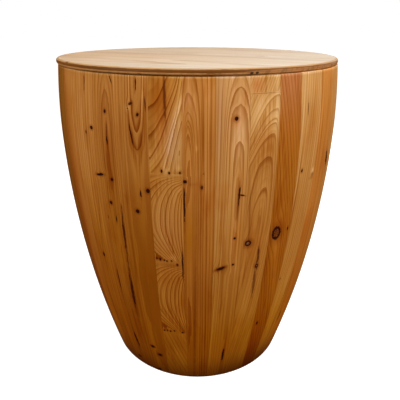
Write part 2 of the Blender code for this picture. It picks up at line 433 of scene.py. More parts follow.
def left_boards():
    """The staves at the left, as the viewer sees them."""
    return {
        # Stave 29, made dark, and the orange and brown patches at stave 30's left side are painted shade
        # where the drum turns away from the light at the left.
        29: Board("amber", 0.64, heart=40.0, left_ring=5.0, bold=0.4),
        30: Board(
            "honey", 1.08, heart=-60.0, right_ring=5.2, bold=0.5, gap=0.4,
            washes=patches(
                orange=[(-14, 330, 18, 220, 0.6)],
                brown=[(-21, 340, 13, 220, 0.9)],
                # The first pale patch, at 400 mm, is painted light from the left.
                pale=[(12, 400, 9, 120, 0.4), (-8, 522, 16, 20, 0.6)],
            ),
        ),
        31: Board(
            "honey", 1.06, heart=55.0, left_ring=5.4, heart_lean=0.02, bold=0.6, gap=0.7,
            knots=[
                Knot(13, 459, 2.4, 2.2), Knot(0, 451, 1.4, 1.8, depth=0.6), Knot(-3.2, 251.7, 2.0, 3.2),
                Knot(11.4, 21, 2.4, 2.2, halo=1.5), Knot(19, 393.3, 4.0, 1.4, lean=0.15),
            ],
            checks=[
                Check((1, 526), (0.6, 510), 0.8, 0.75), Check((10, 352), (-2, 260), 0.5, 0.35, halo=0.5),
            ],
            washes=patches(
                brown=[(0, 445, 6, 16, 0.35), (0, 50, 30, 90, 0.4), (-2, 236, 2.5, 14, 0.5)],
                pale=[
                    # The first patch here, at 400 mm, is painted light from the left.
                    (-15, 400, 8, 60, 0.9), (-10, 150, 10, 45, 0.7), (4, 510, 4, 30, 0.5),
                    (12, 310, 3, 45, 0.6, -0.10),
                ],
                olive=[(0, 260, 30, 120, 0.8)],
            ),
        ),
        32: Board(
            "honey", 1.02, heart=-1.0, bold=0.55, gap=0.8, bold_rings={1: 0.9}, bold_from=380,
            arches=[
                (470, 4.0, 4.0, 30), (512, 8.5, 9.5, 25), (532, 12.0, 13.0, 30), (560, 15.0, 16.0, 40),
                (600, 19.0, 19.5, 40), (640, 23.0, 23.0, 40), (680, 27.0, 27.0, 40),
            ],
            knots=[
                Knot(-2, 484, 1.6, 2.2), Knot(-19, 394.6, 5.0, 1.6, lean=0.15),
                Knot(2, 391, 2.0, 1.8, lean=0.6), Knot(-5, 354.3, 2.1, 2.4),
            ],
            checks=[
                Check((0.2, 468), (-0.8, 453), 0.7, 0.5, halo=1.0),
                Check((-0.9, 452), (-0.7, 440), 1.1, 1.0), Check((7, 528), (11, 519), 0.6, 0.8),
                Check((-17, 231), (-17, 192), 0.8, 0.7), Check((-14, 90), (-11, 60), 1.6, 1.0),
                Check((13.4, 348), (12.6, 322), 0.7, 0.6),
                Check((12.8, 330), (11.2, 282), 1.7, 0.65, halo=1.2),
                Check((11.4, 288), (9.4, 228), 0.9, 0.5),
                Check((8.8, 224), (7.2, 170), 2.1, 0.75, halo=1.2), Check((1.6, 333), (1.2, 325), 0.8, 0.8),
                Check((-14.8, 331), (-14.6, 326), 0.7, 0.5),
            ],
            washes=patches(
                brown=[
                    (-9, 440, 4, 70, 0.5), (9, 420, 4, 90, 0.45), (0, 60, 30, 110, 0.5),
                    (10, 190, 8, 50, 0.5), (2, 160, 14, 40, 0.4),
                ],
                red=[(1, 432, 4, 30, 0.5)],
                olive=[(0, 290, 30, 120, 0.9)],
                dark=[(1, 336, 3, 14, 0.5)],
            ),
        ),
        33: Board(
            "honey", 0.96, heart=4.0, bold=0.4, gap=1.0, bold_rings={1: 1.0, 2: 1.4}, bold_from=280,
            cups=True,
            arches=[
                (500, 4.5, 4.5, 20), (461, 9.0, 9.0, 22), (438, 12.5, 12.0, 26), (0, 16.0, 15.0, 60),
                (-60, 20.0, 18.0, 60), (-120, 24.0, 21.0, 60), (-180, 28.0, 24.0, 60),
            ],
            knots=[
                Knot(-4, 497, 2.4, 1.3, lean=0.5, heart=0.3), Knot(6, 484, 1.5, 2.0, lean=-0.4),
                Knot(16, 383, 2.5, 2.8), Knot(-2, 350, 2.5, 2.6), Knot(-12, 73, 2.8, 2.4, halo=1.6),
                Knot(-1, 54, 2.8, 2.4, halo=1.6), Knot(-9, 8, 2.4, 2.4),
            ],
            checks=[
                Check((4, 526.6), (4, 516), 0.7, 1.0), Check((-6.6, 472), (-2, 446), 0.7, 0.9),
                Check((16, 506), (17, 490), 0.7, 0.7), Check((5, 381), (5, 372), 1.0, 1.0),
            ],
            washes=patches(
                cream=[(13, 508, 1.6, 6, 0.6), (-8.4, 492.5, 3, 4, 0.8)],
                orange=[(6, 370, 14, 30, 0.2)],
                pale=[(0, 415, 20, 34, 0.6), (2, 130, 24, 55, 0.5), (5, 240, 6, 70, 0.25)],
                olive=[(0, 260, 40, 150, 1.0)],
                brown=[(19, 300, 3, 110, 0.4), (3, 470, 9, 40, 0.25)],
            ),
        ),
    }


def middle_boards():
    """The curly stave and the three arched ones to its right."""
    return {
        34: Board(
            "curly", 1.02, curly=True, gap=1.0, bold=1.15, bold_rings={3: 0.9, 4: 1.0, 5: 1.2},
            knots=[
                Knot(-6, 413, 1.2, 2.2), Knot(4, 411, 1.2, 1.6), Knot(18, 412, 1.2, 1.6, depth=0.65),
                Knot(-20, 276, 1.1, 1.4), Knot(-15, 275, 1.2, 2.0), Knot(-9, 274, 1.0, 1.2),
                Knot(-5, 273, 1.0, 1.2), Knot(2, 274, 1.0, 1.2), Knot(10, 268, 1.2, 1.6),
                Knot(-19, 126, 1.2, 1.4), Knot(-14, 127, 1.0, 1.8), Knot(-9, 126, 1.2, 1.4),
                Knot(-2, 128, 1.0, 1.4), Knot(11.5, 126, 1.3, 1.4),
            ],
            checks=[
                Check((18, 286), (18, 250), 0.9, 1.0), Check((-0.7, 527), (0.3, 488), 1.1, 0.5, halo=0.9),
            ],
            washes=patches(
                brown=[
                    (-14, 508, 20, 34, 0.9), (-19, 455, 7, 24, 0.9), (2, 266, 16, 4, 0.6),
                    (-4, 95, 14, 24, 0.4),
                ],
                orange=[(-4, 500, 16, 40, 0.9), (0, 246, 22, 17, 0.35)],
                cream=[
                    (-18, 520, 3, 12, 0.5), (4, 452, 2.2, 30, 0.5, -0.30), (14, 488, 2.0, 22, 0.5, -0.26),
                    (15, 490, 6, 20, 0.3), (1, 414, 3, 4, 0.6), (16, 417, 3, 5, 0.6), (4, 280, 8, 4, 0.5),
                    (-4, 80, 0.9, 45, 0.9, 0.29), (0, 84, 0.9, 40, 0.7, 0.29),
                ],
                dark=[(-0.4, 502, 1.4, 26, 0.8, 0.02)],
                pale=[
                    (12, 432, 9, 30, 0.5), (-8, 345, 14, 60, 0.5), (-16, 210, 5, 60, 0.5),
                    (-4, 178, 18, 34, 0.55), (10, 162, 12, 24, 0.6),
                ],
                rose=[(8, 455, 16, 40, 0.45), (0, 318, 24, 55, 0.3), (0, 110, 30, 90, 0.4)],
                cool=[(12, 450, 12, 40, 1.0)],
            ),
        ),
        1: Board(
            "honey", 1.02, heart=-14.0, bold=0.76, gap=1.0,
            arches=[
                (442, 3.0, 4.5, 30), (465, 4.0, 6.2, 30), (474, 4.7, 7.6, 30), (480, 5.3, 8.8, 30),
                (490, 6.0, 11.0, 30), (513, 7.0, 14.0, 30), (545, 8.5, 17.5, 40), (580, 10.0, 21.0, 40),
                (620, 11.0, 26.0, 40), (660, 12.0, 30.0, 40), (700, 13.0, 35.0, 40),
            ],
            knots=[
                Knot(-18, 400, 2.2, 2.0), Knot(4, 392, 1.5, 2.4, depth=0.7),
                Knot(6, 411, 0.8, 0.8, depth=0.4),
            ],
            checks=[Check((-19, 391), (-19, 345), 1.0, 1.0), Check((-4, 270), (-5, 70), 1.2, 0.2)],
            washes=patches(
                brown=[
                    (-0.5, 440, 1.8, 55, 0.7), (6, 470, 1.8, 60, 0.7), (15, 460, 1.8, 80, 0.8),
                    # The broad patch at 90 mm across the whole board is painted shade at the foot, away from
                    # the light at the right.
                    (2, 205, 22, 50, 0.3), (-9, 472, 5, 20, 0.3), (0, 90, 30, 100, 0.2),
                    (-14, 90, 6, 60, 0.35),
                ],
                pale=[
                    (0, 402, 26, 36, 0.5), (-13, 455, 6, 45, 0.2), (9, 514, 9, 26, 0.6),
                    (13, 475, 7, 75, 0.6),
                ],
                olive=[(-13, 315, 9, 45, 0.9)],
                cream=[(-2.4, 445, 1.6, 4, 0.8)],
                streak=[(-15, 505, 7, 30, 0.5)],
                rose=[(-12, 510, 12, 24, 0.08)],
                dark=[(-8, 396, 9, 2.2, 0.3)],
            ),
        ),
        2: Board(
            "straw", 0.98, heart=9.5, bold=0.5, gap=1.0,
            bold_rings={1: 1.0, 2: 1.0, 3: 0.8, 4: 0.7, 5: 0.7}, bold_from=330,
            arches=[
                (405, 3.6, 3.6, 12), (452, 7.8, 7.8, 11), (498, 13.5, 12.5, 14), (519, 17.5, 15.5, 26),
                (536, 20.5, 17.5, 40), (560, 22.5, 20.0, 50), (600, 26.0, 23.0, 50), (640, 30.0, 27.0, 50),
                (680, 34.0, 31.0, 50),
            ],
            knots=[
                Knot(4.5, 481, 2.3, 2.4), Knot(9.5, 311.5, 1.4, 1.5),
                Knot(-8.2, 260.7, 5.4, 1.9, lean=0.35, halo=1.6), Knot(10, 265.8, 1.5, 1.5),
            ],
            checks=[
                Check((13, 391), (12, 366), 1.2, 1.0), Check((13, 379), (20, 377), 0.9, 1.0),
                Check((10, 82), (9, 52), 1.4, 1.0),
            ],
            washes=patches(
                orange=[
                    (8, 500, 12, 26, 0.1), (3, 479, 5, 7, 0.7), (13, 390, 5, 34, 0.6), (0, 60, 30, 60, 0.4),
                    (12, 312, 8, 42, 0.7), (12, 90, 8, 34, 0.5),
                ],
                pale=[
                    (15, 502, 8, 20, 0.5), (17, 472, 5, 22, 0.5), (0, 195, 30, 70, 0.15),
                    (-11, 350, 10, 75, 0.7),
                ],
                streak=[(-16, 470, 5, 90, 1.0)],
                rose=[(0, 490, 40, 60, 0.12)],
                dark=[(11.5, 362, 2.4, 26, 0.7), (14, 0, 14, 36, 0.5)],
                brown=[(-8, 258, 10, 6, 0.5)],
            ),
        ),
        3: Board(
            "straw", 1.0, heart=-3.4, heart_lean=0.10, gap=0.7, left_ring=5.5, right_ring=4.0,
            left_bow=22.0, right_bow=2.2, bold=0.45, block_from=510.0,
            bold_rings={ring: 0.85 for ring in range(2, 10)}, bold_from=300.0,
            rings=[
                (0, 1.6), (300, 1.8), (345, 2.0), (385, 3.0), (429, 4.0), (459, 5.0), (473, 6.0),
                (478, 7.0), (491, 8.0), (508, 9.0), (520, 10.0), (610, 18.0),
            ],
            knots=[
                Knot(-10.6, 300, 4.4, 4.4, lean=0.3, heart=0.56), Knot(8.3, 255.5, 2.5, 3.2, heart=0.56),
            ],
            checks=[
                Check((8.4, 288), (9.6, 260), 1.5, 0.6, halo=1.2),
                Check((7.4, 250), (9, 204), 2.0, 0.45, halo=1.2),
                Check((-20, 510), (20, 510), 0.4, 0.25, halo=0.3),
            ],
            washes=patches(
                red=[(-10, 520, 8, 9, 0.8)],
                cream=[
                    (18, 512, 4, 40, 0.6), (4, 486, 30, 24, 0.6), (-10.6, 300, 3, 3, 1.0),
                    (-10.6, 300, 3, 3, 1.0),
                ],
                orange=[(0, 435, 22, 34, 0.3), (0, 300, 30, 60, 0.4)],
                dark=[(-12.5, 345, 1.2, 42, 0.9, 0.06), (4, 0, 40, 36, 0.5)],
                pale=[(0, 195, 30, 80, 0.5)],
                brown=[(-6, 60, 16, 50, 0.4), (-10, 297, 9, 9, 0.3)],
            ),
        ),
    }


def right_boards():
    """The staves at the right, as the viewer sees them."""
    return {
        4: Board(
            "amber", 0.98, heart=70.0, left_ring=5.0, heart_lean=-0.17, bold=0.85,
            knots=[
                Knot(-4.6, 306.5, 7.4, 10.4, lean=0.06, heart=0.68, halo=0.8), Knot(18, 308, 1.0, 2.4),
                Knot(-5, 124, 1.5, 2.8),
            ],
            washes=patches(
                rose=[(0, 530, 40, 60, 1.3)],
                cream=[(20, 510, 5, 40, 0.7, 0.15)],
                orange=[(0, 450, 40, 50, 0.35), (0, 260, 30, 60, 0.3)],
                pale=[(6, 190, 20, 60, 0.4)],
                brown=[(-16, 270, 5, 90, 0.4)],
                red=[(0, 318, 14, 14, 0.5), (-6, 70, 16, 60, 0.7)],
                dark=[(0, 20, 40, 60, 0.6)],
            ),
        ),
        5: Board(
            "straw", 1.01, heart=-70.0, right_ring=5.0, heart_lean=0.05, bold=0.55,
            knots=[Knot(-11, 397, 1.6, 2.2), Knot(18.5, 385, 2.2, 2.4, heart=0.8, depth=0.35)],
            checks=[Check((-9, 492), (-9, 478), 0.6, 0.7), Check((-14, 211), (-14, 207), 0.7, 0.8)],
            washes=patches(
                cream=[(0, 520, 30, 30, 0.3), (18, 391, 4, 4.5, 1.0), (-19, 440, 2.0, 90, 0.5)],
                orange=[(8, 505, 3, 40, 0.5), (4, 455, 18, 40, 0.25)],
                # The broad pale patch at 150 mm is painted light from the right on the lower drum.
                pale=[(-10, 430, 5, 50, 0.5), (0, 150, 30, 130, 0.95)],
                brown=[(17, 380, 7, 2.0, 0.6)],
                dark=[(0, 0, 40, 50, 0.6)],
            ),
        ),
        6: Board(
            "honey", 1.22, heart=50.0, left_ring=4.6, bold=0.5,
            checks=[Check((-10, 116), (-12, 96), 1.2, 0.8)],
            washes=patches(pale=[(-14, 480, 4, 60, 0.5), (10, 525, 16, 16, 0.6), (0, 290, 30, 120, 0.4)]),
        ),
        7: Board(
            "straw", 1.05, heart=-40.0, right_ring=4.5, bold=0.5,
            checks=[Check((-18, 409), (-12, 386), 3.2, 1.0)],
        ),
    }


def front_boards():
    """The staves that face the viewer, each with the figure, knots and checks that it shows."""
    return left_boards() | middle_boards() | right_boards()


def plain_board(number):
    """A stave that the viewer can't see, with a figure drawn from its number."""
    draw = random.Random(number)
    tone = draw.choice(("honey", "honey", "straw", "amber", "red", "brown"))
    board = Board(tone, draw.uniform(0.90, 1.06))
    board.heart = draw.choice((-1, 1)) * draw.choice((4.0, 9.0, 14.0, 45.0, 65.0))
    board.heart_lean = draw.uniform(-0.04, 0.04)
    board.left_ring = draw.uniform(2.3, 4.0)
    board.right_ring = draw.uniform(2.3, 4.0)
    apex = draw.uniform(300.0, 520.0)
    board.rings = [(0, 1.2)]
    for ring in range(2, 8):
        board.rings.append((apex, float(ring)))
        apex += draw.uniform(8.0, 30.0)
    for _ in range(draw.randint(1, 4)):
        half_width = draw.uniform(1.2, 3.2)
        heart = draw.choice((0.0, 0.0, 0.0, 0.6))
        across = draw.uniform(-15.0, 15.0)
        up = draw.uniform(40.0, 500.0)
        half_height = half_width * draw.uniform(0.8, 1.4)
        lean = draw.uniform(-0.5, 0.5)
        board.knots.append(Knot(across, up, half_width, half_height, lean, heart))
    for _ in range(draw.randint(0, 2)):
        across = draw.uniform(-16.0, 16.0)
        up = draw.uniform(60.0, 500.0)
        length = draw.uniform(10.0, 40.0)
        depth = draw.uniform(0.6, 1.0)
        board.checks.append(Check((across, up), (across, up - length), 0.8, depth))
    return board


# How far a seam may stray in millimetres, and the strays of those in view: at rim, middle and foot.
SEAM_STRAY = 1.2
SEEN_SEAMS = {
    31: (-1.0, 0.5, 1.0),
    32: (4.0, -7.0, -7.5),
    33: (-0.5, -2.5, -6.5),
    34: (0.0, 0.0, -2.0),
    1: (-0.5, 0.8, 0.0),
    2: (1.5, 2.5, 2.0),
    3: (2.0, 3.0, 6.5),
    4: (-4.0, 1.5, 2.0),
    5: (2.0, 0.0, 0.0),
}


def seam_strays(count):
    """How far the seam after each stave strays from its even place, in millimetres."""
    draw = random.Random(count)
    strays = {}
    for number in range(1, count + 1):
        strays[number] = tuple(draw.uniform(-SEAM_STRAY, SEAM_STRAY) for _ in range(3))
    strays.update(SEEN_SEAMS)
    return strays


# Types of the trees' inputs.
FLOAT = "NodeSocketFloat"
WHOLE = "NodeSocketInt"
GEOMETRY = "NodeSocketGeometry"
MATERIAL = "NodeSocketMaterial"


def geometry_tree(name, inputs):
    """A new Geometry Nodes tree with inputs by type: its sheet, and the inputs' identifiers and wires."""
    tree = bpy.data.node_groups.new(name, "GeometryNodeTree")
    identifiers = {}
    for kind, labels in inputs.items():
        for label in labels:
            socket = tree.interface.new_socket(label, in_out="INPUT", socket_type=kind)
            identifiers[label] = socket.identifier
    tree.interface.new_socket("Geometry", in_out="OUTPUT", socket_type=GEOMETRY)
    sheet = NodeSheet(tree)
    group = sheet.add("NodeGroupInput")
    return sheet, identifiers, {label: sheet.out(group, label) for label in identifiers}


def end_tree(sheet, geometry, material):
    """End a tree with real, painted meshes."""
    real = sheet.add("GeometryNodeRealizeInstances", {"Geometry": geometry})
    painted = sheet.add("GeometryNodeSetMaterial", {"Geometry": sheet.out(real), "Material": material})
    sheet.add("NodeGroupOutput", {"Geometry": sheet.out(painted)})


# Inputs of the stave tree; its sizes have the names of the drum's properties.
STAVE_COUNTS = ("Columns", "Rows", "Layers", "Arris Rows")
STAVE_SIZES = (
    "Height", "Foot Radius", "Belly Radius", "Belly Height", "Rim Radius", "Curve Below", "Curve Above",
    "Wall", "Foot Arris", "Rim Arris", "Glue Line",
)
STAVE_PLACES = (
    "Middle", "Half Angle", "Left Rim", "Left Middle", "Left Foot", "Right Rim", "Right Middle", "Right Foot",
)


def stave_tree():
    """Geometry Nodes tree of one turned stave: a gridded block bent into its place in the ring."""
    inputs = {WHOLE: STAVE_COUNTS, FLOAT: STAVE_SIZES + STAVE_PLACES, MATERIAL: ("Material",)}
    sheet, identifiers, given = geometry_tree("turned_stave", inputs)
    block = sheet.add(
        "GeometryNodeMeshCube",
        {"Vertices X": given["Columns"], "Vertices Y": given["Layers"], "Vertices Z": given["Rows"]},
    )
    unit_x, unit_y, unit_z = sheet.parts(sheet.out(sheet.add("GeometryNodeInputPosition")))
    across = unit_x + 0.5
    inward = unit_y + 0.5

    last_row = given["Rows"] - 1.0
    row = sheet.math("ROUND", (unit_z + 0.5) * last_row)
    upper_start = last_row - given["Arris Rows"]
    body_height = given["Height"] - given["Foot Arris"] - given["Rim Arris"]
    height = (
        sheet.ramp(row, 0.0, given["Arris Rows"], 0.0, given["Foot Arris"])
        + sheet.ramp(row, given["Arris Rows"], upper_start, 0.0, body_height)
        + sheet.ramp(row, upper_start, last_row, 0.0, given["Rim Arris"])
    )

    below = sheet.clamp((given["Belly Height"] - height) / given["Belly Height"])
    above = sheet.clamp((height - given["Belly Height"]) / (given["Height"] - given["Belly Height"]))
    turned = (
        given["Belly Radius"]
        - (given["Belly Radius"] - given["Foot Radius"]) * below ** given["Curve Below"]
        - (given["Belly Radius"] - given["Rim Radius"]) * above ** given["Curve Above"]
    )
    foot_side = sheet.clamp(1.0 - height / given["Foot Arris"])
    rim_side = sheet.clamp(1.0 - (given["Height"] - height) / given["Rim Arris"])
    eased = (
        turned
        - given["Foot Arris"] * (1.0 - sheet.math("SQRT", 1.0 - foot_side * foot_side))
        - given["Rim Arris"] * (1.0 - sheet.math("SQRT", 1.0 - rim_side * rim_side))
    )

    share = height / given["Height"]
    foot_part = (1.0 - share) * (1.0 - 2.0 * share)
    middle_part = 4.0 * share * (1.0 - share)
    rim_part = share * (2.0 * share - 1.0)

    def seam(side):
        foot = given[f"{side} Foot"] * foot_part
        middle = given[f"{side} Middle"] * middle_part
        rim = given[f"{side} Rim"] * rim_part
        return (foot + middle + rim) / turned

    half_gap = given["Glue Line"] * 0.5 / turned
    left = seam("Left") - given["Half Angle"] + half_gap
    right = seam("Right") + given["Half Angle"] - half_gap
    swing = left + (right - left) * across
    angle = swing + given["Middle"]

    inner_foot = given["Foot Radius"] - given["Wall"]
    inner_rim = given["Rim Radius"] - given["Wall"]
    inner = (inner_foot + (inner_rim - inner_foot) * share) / sheet.math("COSINE", swing)
    radius = eased + (inner - eased) * inward

    right_way = sheet.math("SINE", angle) * radius
    front_way = sheet.math("COSINE", angle) * radius
    place = sheet.vector(right_way, front_way * -1.0, height)
    grain = sheet.vector(swing * turned, height, turned - radius)
    marked = sheet.out(block, "Mesh")
    for name, value, kind in ((GRAIN, grain, "FLOAT_VECTOR"), (RAW, inward, "FLOAT")):
        stored = {"Geometry": marked, "Name": name, "Value": value}
        marked = sheet.out(sheet.add("GeometryNodeStoreNamedAttribute", stored, data_type=kind))
    bent = sheet.add("GeometryNodeSetPosition", {"Geometry": marked, "Position": place})
    end_tree(sheet, sheet.out(bent), given["Material"])
    return sheet.tree, identifiers


def finish_shading(mesh):
    """Smooth shading that keeps the real edges crisp."""
    mesh.shade_smooth()
    mesh.set_sharp_from_angle(angle=SHARP_ANGLE)


def settle(piece):
    """Give a piece the plain mesh that its modifiers make, and drop them."""
    depsgraph = bpy.context.evaluated_depsgraph_get()
    made = bpy.data.meshes.new_from_object(
        piece.evaluated_get(depsgraph), preserve_all_data_layers=True, depsgraph=depsgraph
    )
    piece.modifiers.clear()
    spare = piece.data
    piece.data = made
    bpy.data.meshes.remove(spare)
    made.name = piece.name
    finish_shading(made)


def new_object(name, data):
    """A linked object that holds this mesh, light or camera."""
    piece = bpy.data.objects.new(name, data)
    bpy.context.scene.collection.objects.link(piece)
    return piece


def sizes_by_label(group, labels):
    """A property group's sizes by the labels that a tree's inputs have."""
    return {label: getattr(group, label.lower().replace(" ", "_")) for label in labels}


def grown_object(name, tree, identifiers, values, points=()):
    """An object whose plain mesh comes from a Geometry Nodes tree with these inputs."""
    mesh = bpy.data.meshes.new(name)
    mesh.from_pydata(points, [], [])
    piece = new_object(name, mesh)
    modifier = piece.modifiers.new("grow", "NODES")
    modifier.node_group = tree
    for label, value in values.items():
        modifier[identifiers[label]] = value
    settle(piece)
    return piece


def read_vectors(mesh, name):
    """A vector attribute as rows."""
    values = np.zeros(len(mesh.vertices) * 3, np.float32)
    mesh.attributes[name].data.foreach_get("vector", values)
    return values.reshape(-1, 3).astype(float)


# Type of an attribute and of its data, by how many numbers each vertex has.
LAYER_KINDS = {1: ("FLOAT", "value"), 3: ("FLOAT_VECTOR", "vector"), 4: ("FLOAT_COLOR", "color")}


def write_layer(mesh, name, values):
    """Store a number, vector or colour for each vertex, in place of any that is there."""
    values = np.ascontiguousarray(values, np.float32).reshape(len(values), -1)
    kind, part = LAYER_KINDS[values.shape[1]]
    if name in mesh.attributes:
        mesh.attributes.remove(mesh.attributes[name])
    layer = mesh.attributes.new(name, kind, "POINT")
    layer.data.foreach_set(part, values.ravel())


def smooth_curve(places, points, values):
    """A smooth curve through given values that turns only where they do, held at its ends."""
    points = np.asarray(points, float)
    values = np.asarray(values, float)
    steps = np.diff(points)
    slopes = np.diff(values) / steps
    product = slopes[1:] * slopes[:-1]
    total = slopes[1:] + slopes[:-1]
    inner = np.where(product > 0, 2.0 * product / np.where(total == 0, 1.0, total), 0.0)
    tangents = np.concatenate((slopes[:1], inner, slopes[-1:]))
    places = np.clip(places, points[0], points[-1])
    index = np.clip(np.searchsorted(points, places, side="right") - 1, 0, len(steps) - 1)
    step = steps[index]
    share = (places - points[index]) / step
    rest = 1.0 - share
    from_left = values[index] * (1.0 + 2.0 * share) + tangents[index] * step * share
    from_right = values[index + 1] * (3.0 - 2.0 * share) - tangents[index + 1] * step * rest
    return from_left * rest ** 2 + from_right * share ** 2


def share_between(value, low, high):
    """How far each value is from low to high, from 0 to 1."""
    return np.clip((value - low) / (high - low), 0.0, 1.0)


def count_between(value, lines):
    """Which of the given rising lines each value lies at, with parts of a step between two lines."""
    count = np.zeros(len(value))
    for low, high in zip(lines, lines[1:]):
        count += share_between(value, low, high)
    return count


# How far a knot bends the fibres, in its own sizes, and how strongly.
BEND_WIDTH = 2.2
BEND_HEIGHT = 5.0
BEND_PULL = 0.85


def bend_round_knots(across, up, knots):
    """Where each point's fibres would lie without the knots: they part and pass round each one."""
    straight = across.copy()
    for knot in knots:
        sideways = (across - knot.across) / (BEND_WIDTH * knot.half_width)
        along = (up - knot.up) / (BEND_HEIGHT * knot.half_height)
        pull = BEND_PULL * np.exp(-sideways ** 2 - along ** 2)
        straight -= (across - knot.across) * pull
    return straight


# Height at which a leaning heart is given.
HALF_WAY_UP = 266.0

# Arches: their slope past the apex, and their rings' width into the board.
ARCH_RISE = 0.4
ARCH_RING = 4.0

# Heights between which bowed rings take over.
BOW_FROM = 330.0
BOW_FULL = 420.0

# A block let in at a board's top: its slant, its rings' width and its first count.
BLOCK_SLANT = 0.42
BLOCK_RING = 3.8
BLOCK_COUNT = 100.0


def arch_growth(board, offset, up):
    """Growth of nested arches or cups."""
    lines = []
    for apex, left, right, opening in board.arches:
        fall = up - apex if board.cups else apex - up
        width = np.where(offset < 0, left, right)
        legs = width * np.sqrt(1.0 - np.exp(-np.maximum(fall, 0.0) / opening))
        lines.append(np.where(fall > 0, legs, ARCH_RISE * fall))
    return count_between(np.abs(offset), lines)


def board_growth(board, across, up, depth):
    """Count of the tree's rings at each point of a board, in millimetres from its middle and the floor."""
    across = bend_round_knots(across, up, board.knots)
    if board.curly:
        return curly_growth(across, up) + depth / CURLY_RING
    offset = across - board.heart - board.heart_lean * (up - HALF_WAY_UP)
    if board.arches:
        return arch_growth(board, offset, up) + depth / ARCH_RING
    heights, counts = zip(*board.rings)
    ring = np.where(offset < 0, board.left_ring, board.right_ring)
    growth = np.hypot(offset / ring, smooth_curve(up, heights, counts) + depth / ring)
    if board.left_bow:
        bow = np.where(offset < 0, board.left_bow, board.right_bow)
        arches = smooth_curve(up + offset ** 2 / bow, heights, counts) + depth / ARCH_RING
        growth += (arches - growth) * share_between(up, BOW_FROM, BOW_FULL)
    block = (across - BLOCK_SLANT * (up - board.block_from)) / BLOCK_RING + BLOCK_COUNT
    return np.where(up > board.block_from, block, growth)


# Step that the rings' pitch is measured over, in millimetres, and the least pitch.
PITCH_STEP = 0.5
PITCH_LEAST = 0.02


def ring_pitch(board, across, up, depth):
    """Rings per millimetre at each point, so that the lines keep their width where rings lie far apart."""
    here = board_growth(board, across, up, depth)
    sideways = board_growth(board, across + PITCH_STEP, up, depth) - here
    upward = board_growth(board, across, up + PITCH_STEP, depth) - here
    inward = board_growth(board, across, up, depth + PITCH_STEP) - here
    return np.clip(np.sqrt(sideways ** 2 + upward ** 2 + inward ** 2) / PITCH_STEP, PITCH_LEAST, 1.0)


# The curly board: its rings' width into the board, and the heights of its slanting lines at places across.
CURLY_RING = 6.0
SLANT_PLACES = (-21.0, -14.0, -7.0, 0.0, 7.0, 14.0, 21.0)
SLANT_LINES = (
    (340.0, 348.0, 357.0, 374.0, 398.0, 428.0, 455.0),
    (362.0, 370.0, 380.0, 398.0, 424.0, 453.0, 480.0),
    (385.0, 394.0, 404.0, 424.0, 450.0, 477.0, 500.0),
    (410.0, 419.0, 428.5, 443.0, 465.0, 486.0, 530.0),
    (430.0, 442.0, 455.0, 474.0, 493.5, 514.0, 556.0),
    (460.0, 467.5, 479.0, 491.0, 506.5, 526.0, 582.0),
    (495.0, 500.0, 510.0, 525.0, 542.0, 570.0, 620.0),
    (540.0, 548.0, 560.0, 580.0, 600.0, 640.0, 700.0),
)

# Its fans: where their lines spring from, how far each reaches and where it starts, how they swell on the way
# down, each fan's top and bottom, the row of pin knots over it, and the step in count from fan to fan.
FAN_EDGE = 21.0
FAN_REACHES = (0.0, 4.0, 8.3, 13.2, 19.5, 25.8, 33.0, 41.3, 50.0, 60.0, 72.0, 86.0)
FAN_STARTS = (-22.0, -19.0, -15.5, -11.0, -6.5, -3.0, 0.0, 2.5, 5.0, 7.5, 10.0, 12.5)
FAN_SHARES = (0.0, 0.02, 0.05, 0.10, 0.17, 0.25, 0.34, 0.44, 0.54, 0.63, 0.71, 0.80, 0.90, 1.0)
FAN_SWELL = (0.03, 0.27, 0.46, 0.62, 0.78, 0.90, 0.97, 1.0, 0.97, 0.87, 0.74, 0.57, 0.36, 0.15)
FANS = ((399.5, 262.0), (259.0, 120.0))
FAN_TOPS = (409.0, 268.0)
FAN_COUNT = 20.0

# Its foot: where the slanting lines begin, their slant, width and first count.
FOOT_TOP = 123.0
FOOT_SLANT = 0.30
FOOT_RING = 7.0
FOOT_COUNT = 70.0


def fan_growth(across, up, top, bottom):
    """Growth of one fan: its lines spring from the upper right, swell to the left and draw together below."""
    lines = []
    for reach, start in zip(FAN_REACHES, FAN_STARTS):
        share = (top + start - up) / (top + start - bottom)
        lines.append(reach * smooth_curve(share, FAN_SHARES, FAN_SWELL) - FAN_EDGE)
    return count_between(-across, lines)


def curly_growth(across, up):
    """Growth of the curly board: slanting lines, two fans below rows of pin knots, a slanting foot."""
    slants = [smooth_curve(across, SLANT_PLACES, heights) for heights in SLANT_LINES]
    growth = count_between(up, slants)
    for number, (fan, top) in enumerate(zip(FANS, FAN_TOPS), 1):
        growth = np.where(up < top, fan_growth(across, up, *fan) + FAN_COUNT * number, growth)
    foot = (across - FOOT_SLANT * (FOOT_TOP - up)) / FOOT_RING + FOOT_COUNT
    return np.where(up < FOOT_TOP, foot, growth)


# How rings fade near a row of pin knots and at the curly foot, and where bold rings come in and how wide.
ROW_CLEAR = 2.1
ROW_FADE = 7.0
FOOT_BOLD = 0.4
BOLD_FADE = 80.0
BOLD_WIDTH = 1.6
BOLD_LEAD = 0.1


def ring_boldness(board, growth, up):
    """How strongly each point's ring shows."""
    boldness = np.full(len(growth), board.bold)
    if board.curly:
        for row in (*FAN_TOPS, FOOT_TOP):
            boldness = boldness * share_between(np.abs(up - row), ROW_CLEAR, ROW_CLEAR + ROW_FADE)
        boldness = np.where(up < FOOT_TOP, boldness * FOOT_BOLD, boldness)
    fade = share_between(up, board.bold_from, board.bold_from + BOLD_FADE)
    for ring, strength in board.bold_rings.items():
        near = np.clip(BOLD_WIDTH - BOLD_WIDTH * np.abs(growth - ring + BOLD_LEAD), 0.0, 1.0)
        boldness = np.maximum(boldness, strength * near * fade)
    return boldness


def leaning(points, centre, lean):
    """Offsets of points from a place, across and along a leaning direction."""
    away = points - np.array(centre)
    side = away[:, 0] * math.cos(lean) + away[:, 1] * math.sin(lean)
    along = away[:, 1] * math.cos(lean) - away[:, 0] * math.sin(lean)
    return side, along


